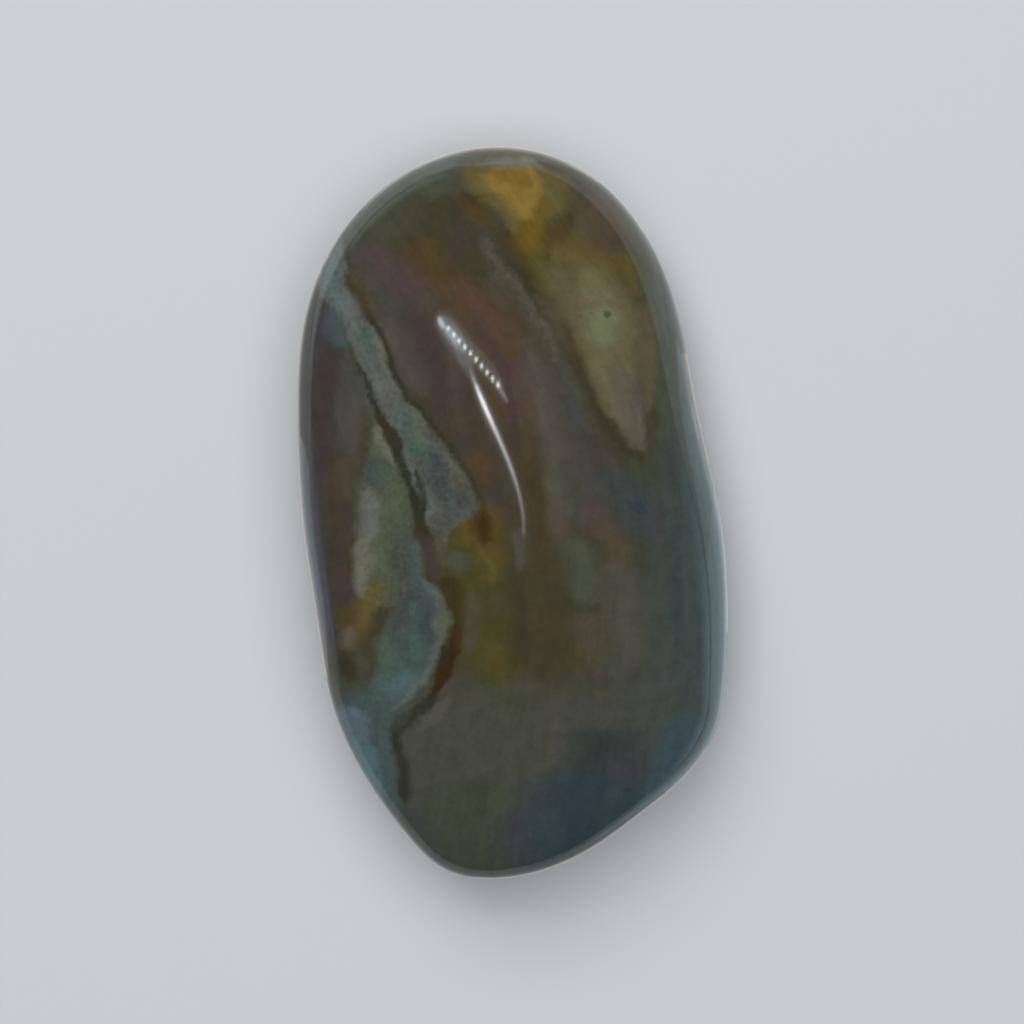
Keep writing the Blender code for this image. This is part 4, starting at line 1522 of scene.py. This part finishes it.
def add_card(name, middle, size, light, turn=0.0):
    """A lit card that lies on the floor and faces up, unseen by the camera."""
    card = bpy.data.lights.new(name, "AREA")
    card.shape = "RECTANGLE"
    card.size, card.size_y = size
    brightest = max(light)
    card.color = [part / brightest for part in light]
    card.energy = brightest * math.pi * card.size * card.size_y
    lamp = bpy.data.objects.new(name, card)
    lamp.location = (*middle, CARD_HEIGHT)
    lamp.rotation_euler = (math.pi, 0, turn)
    lamp.visible_camera = False
    bpy.context.scene.collection.objects.link(lamp)


for name, left, right, near, far, light in CARDS:
    middle = ((left + right) / 2, (near + far) / 2)
    add_card(f"card_{name}", middle, (right - left, far - near), light)
print("cards:", len(CARDS))

# %% [markdown]
# ## The strips
#
# The very edge of the polish mirrors only the floor that touches the stone, which the stone itself
# shades. Narrow warm strips, laid along the outline in three runs, light that edge. They follow the
# outline by the same curve that shapes the stone, so a changed outline moves them too.

# %% The strips close to the outline
STRIP_AWAY = 12.5  # mm from the outline to the middle of a strip
STRIP_WIDTH = 15.0
STRIP_TURN = 12  # degrees round the stone that each strip covers
STRIP_LIGHT = (0.36, 0.31, 0.25)
STRIP_RUNS = ((-24, 36), (72, 216), (264, 312))  # the bearings that the strips cover, in degrees


def beside_outline(bearing):
    """A place on the floor, in metres, STRIP_AWAY outside the outline at a bearing in degrees."""
    turned = math.radians(bearing)
    reach = (float(outline_radius(np.array([turned]))[0]) + STRIP_AWAY) * MM
    return Vector((reach * math.cos(turned), reach * math.sin(turned)))


for first, last in STRIP_RUNS:
    for bearing in range(first, last, STRIP_TURN):
        start, end = beside_outline(bearing), beside_outline(bearing + STRIP_TURN)
        step = end - start
        size = (step.length, STRIP_WIDTH * MM)
        turn = math.atan2(step.y, step.x)
        add_card(f"strip_{bearing}", (start + end) / 2, size, STRIP_LIGHT, turn)
print("strips:", sum(len(range(*run, STRIP_TURN)) for run in STRIP_RUNS))

# %% [markdown]
# ## The room
#
# The flanks mirror the room along its horizon. It is dark, apart from three windows that glow in
# blue and teal: each is brightest at one bearing and at the horizon, and fades to its sides and
# upwards. They give the stone its coloured edges.

# %% The room
ROOM_DARK = (0.06, 0.07, 0.08)
WINDOW_CORE = 0.3  # share of the half width that is fully bright
WINDOWS = (  # bearing, half width and height in degrees, and colour
    (343, 34, 20, (0.6, 0.95, 1.25)),
    (187, 15, 26, (0.35, 0.42, 0.75)),
    (125, 22, 13, (0.55, 0.85, 0.85)),
)
room = bpy.data.worlds.new("room")
bpy.context.scene.world = room
room.use_nodes = True
Wire.tree = room.node_tree
outward = Wire.node("ShaderNodeTexCoord", output="Generated")
upward = parted(outward)[2]
room_light = ROOM_DARK
for bearing, half_width, top, colour in WINDOWS:
    bearing, half_width, top = (math.radians(angle) for angle in (bearing, half_width, top))
    facing = (math.cos(bearing), math.sin(bearing), 0)
    towards = vector_sum("DOT_PRODUCT", outward, facing, output="Value")
    side_fade = rise(towards, math.cos(half_width), math.cos(half_width * WINDOW_CORE))
    window = side_fade * rise(upward, math.sin(top), 0.0)
    room_light = vector_sum("ADD", room_light, scaled(colour, window))
background = room.node_tree.nodes["Background"]
room.node_tree.links.new(room_light.socket, background.inputs["Color"])
print("room nodes:", len(room.node_tree.nodes))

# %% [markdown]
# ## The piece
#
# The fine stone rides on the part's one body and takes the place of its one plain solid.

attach(stone, "root")
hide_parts("jasper_stone")
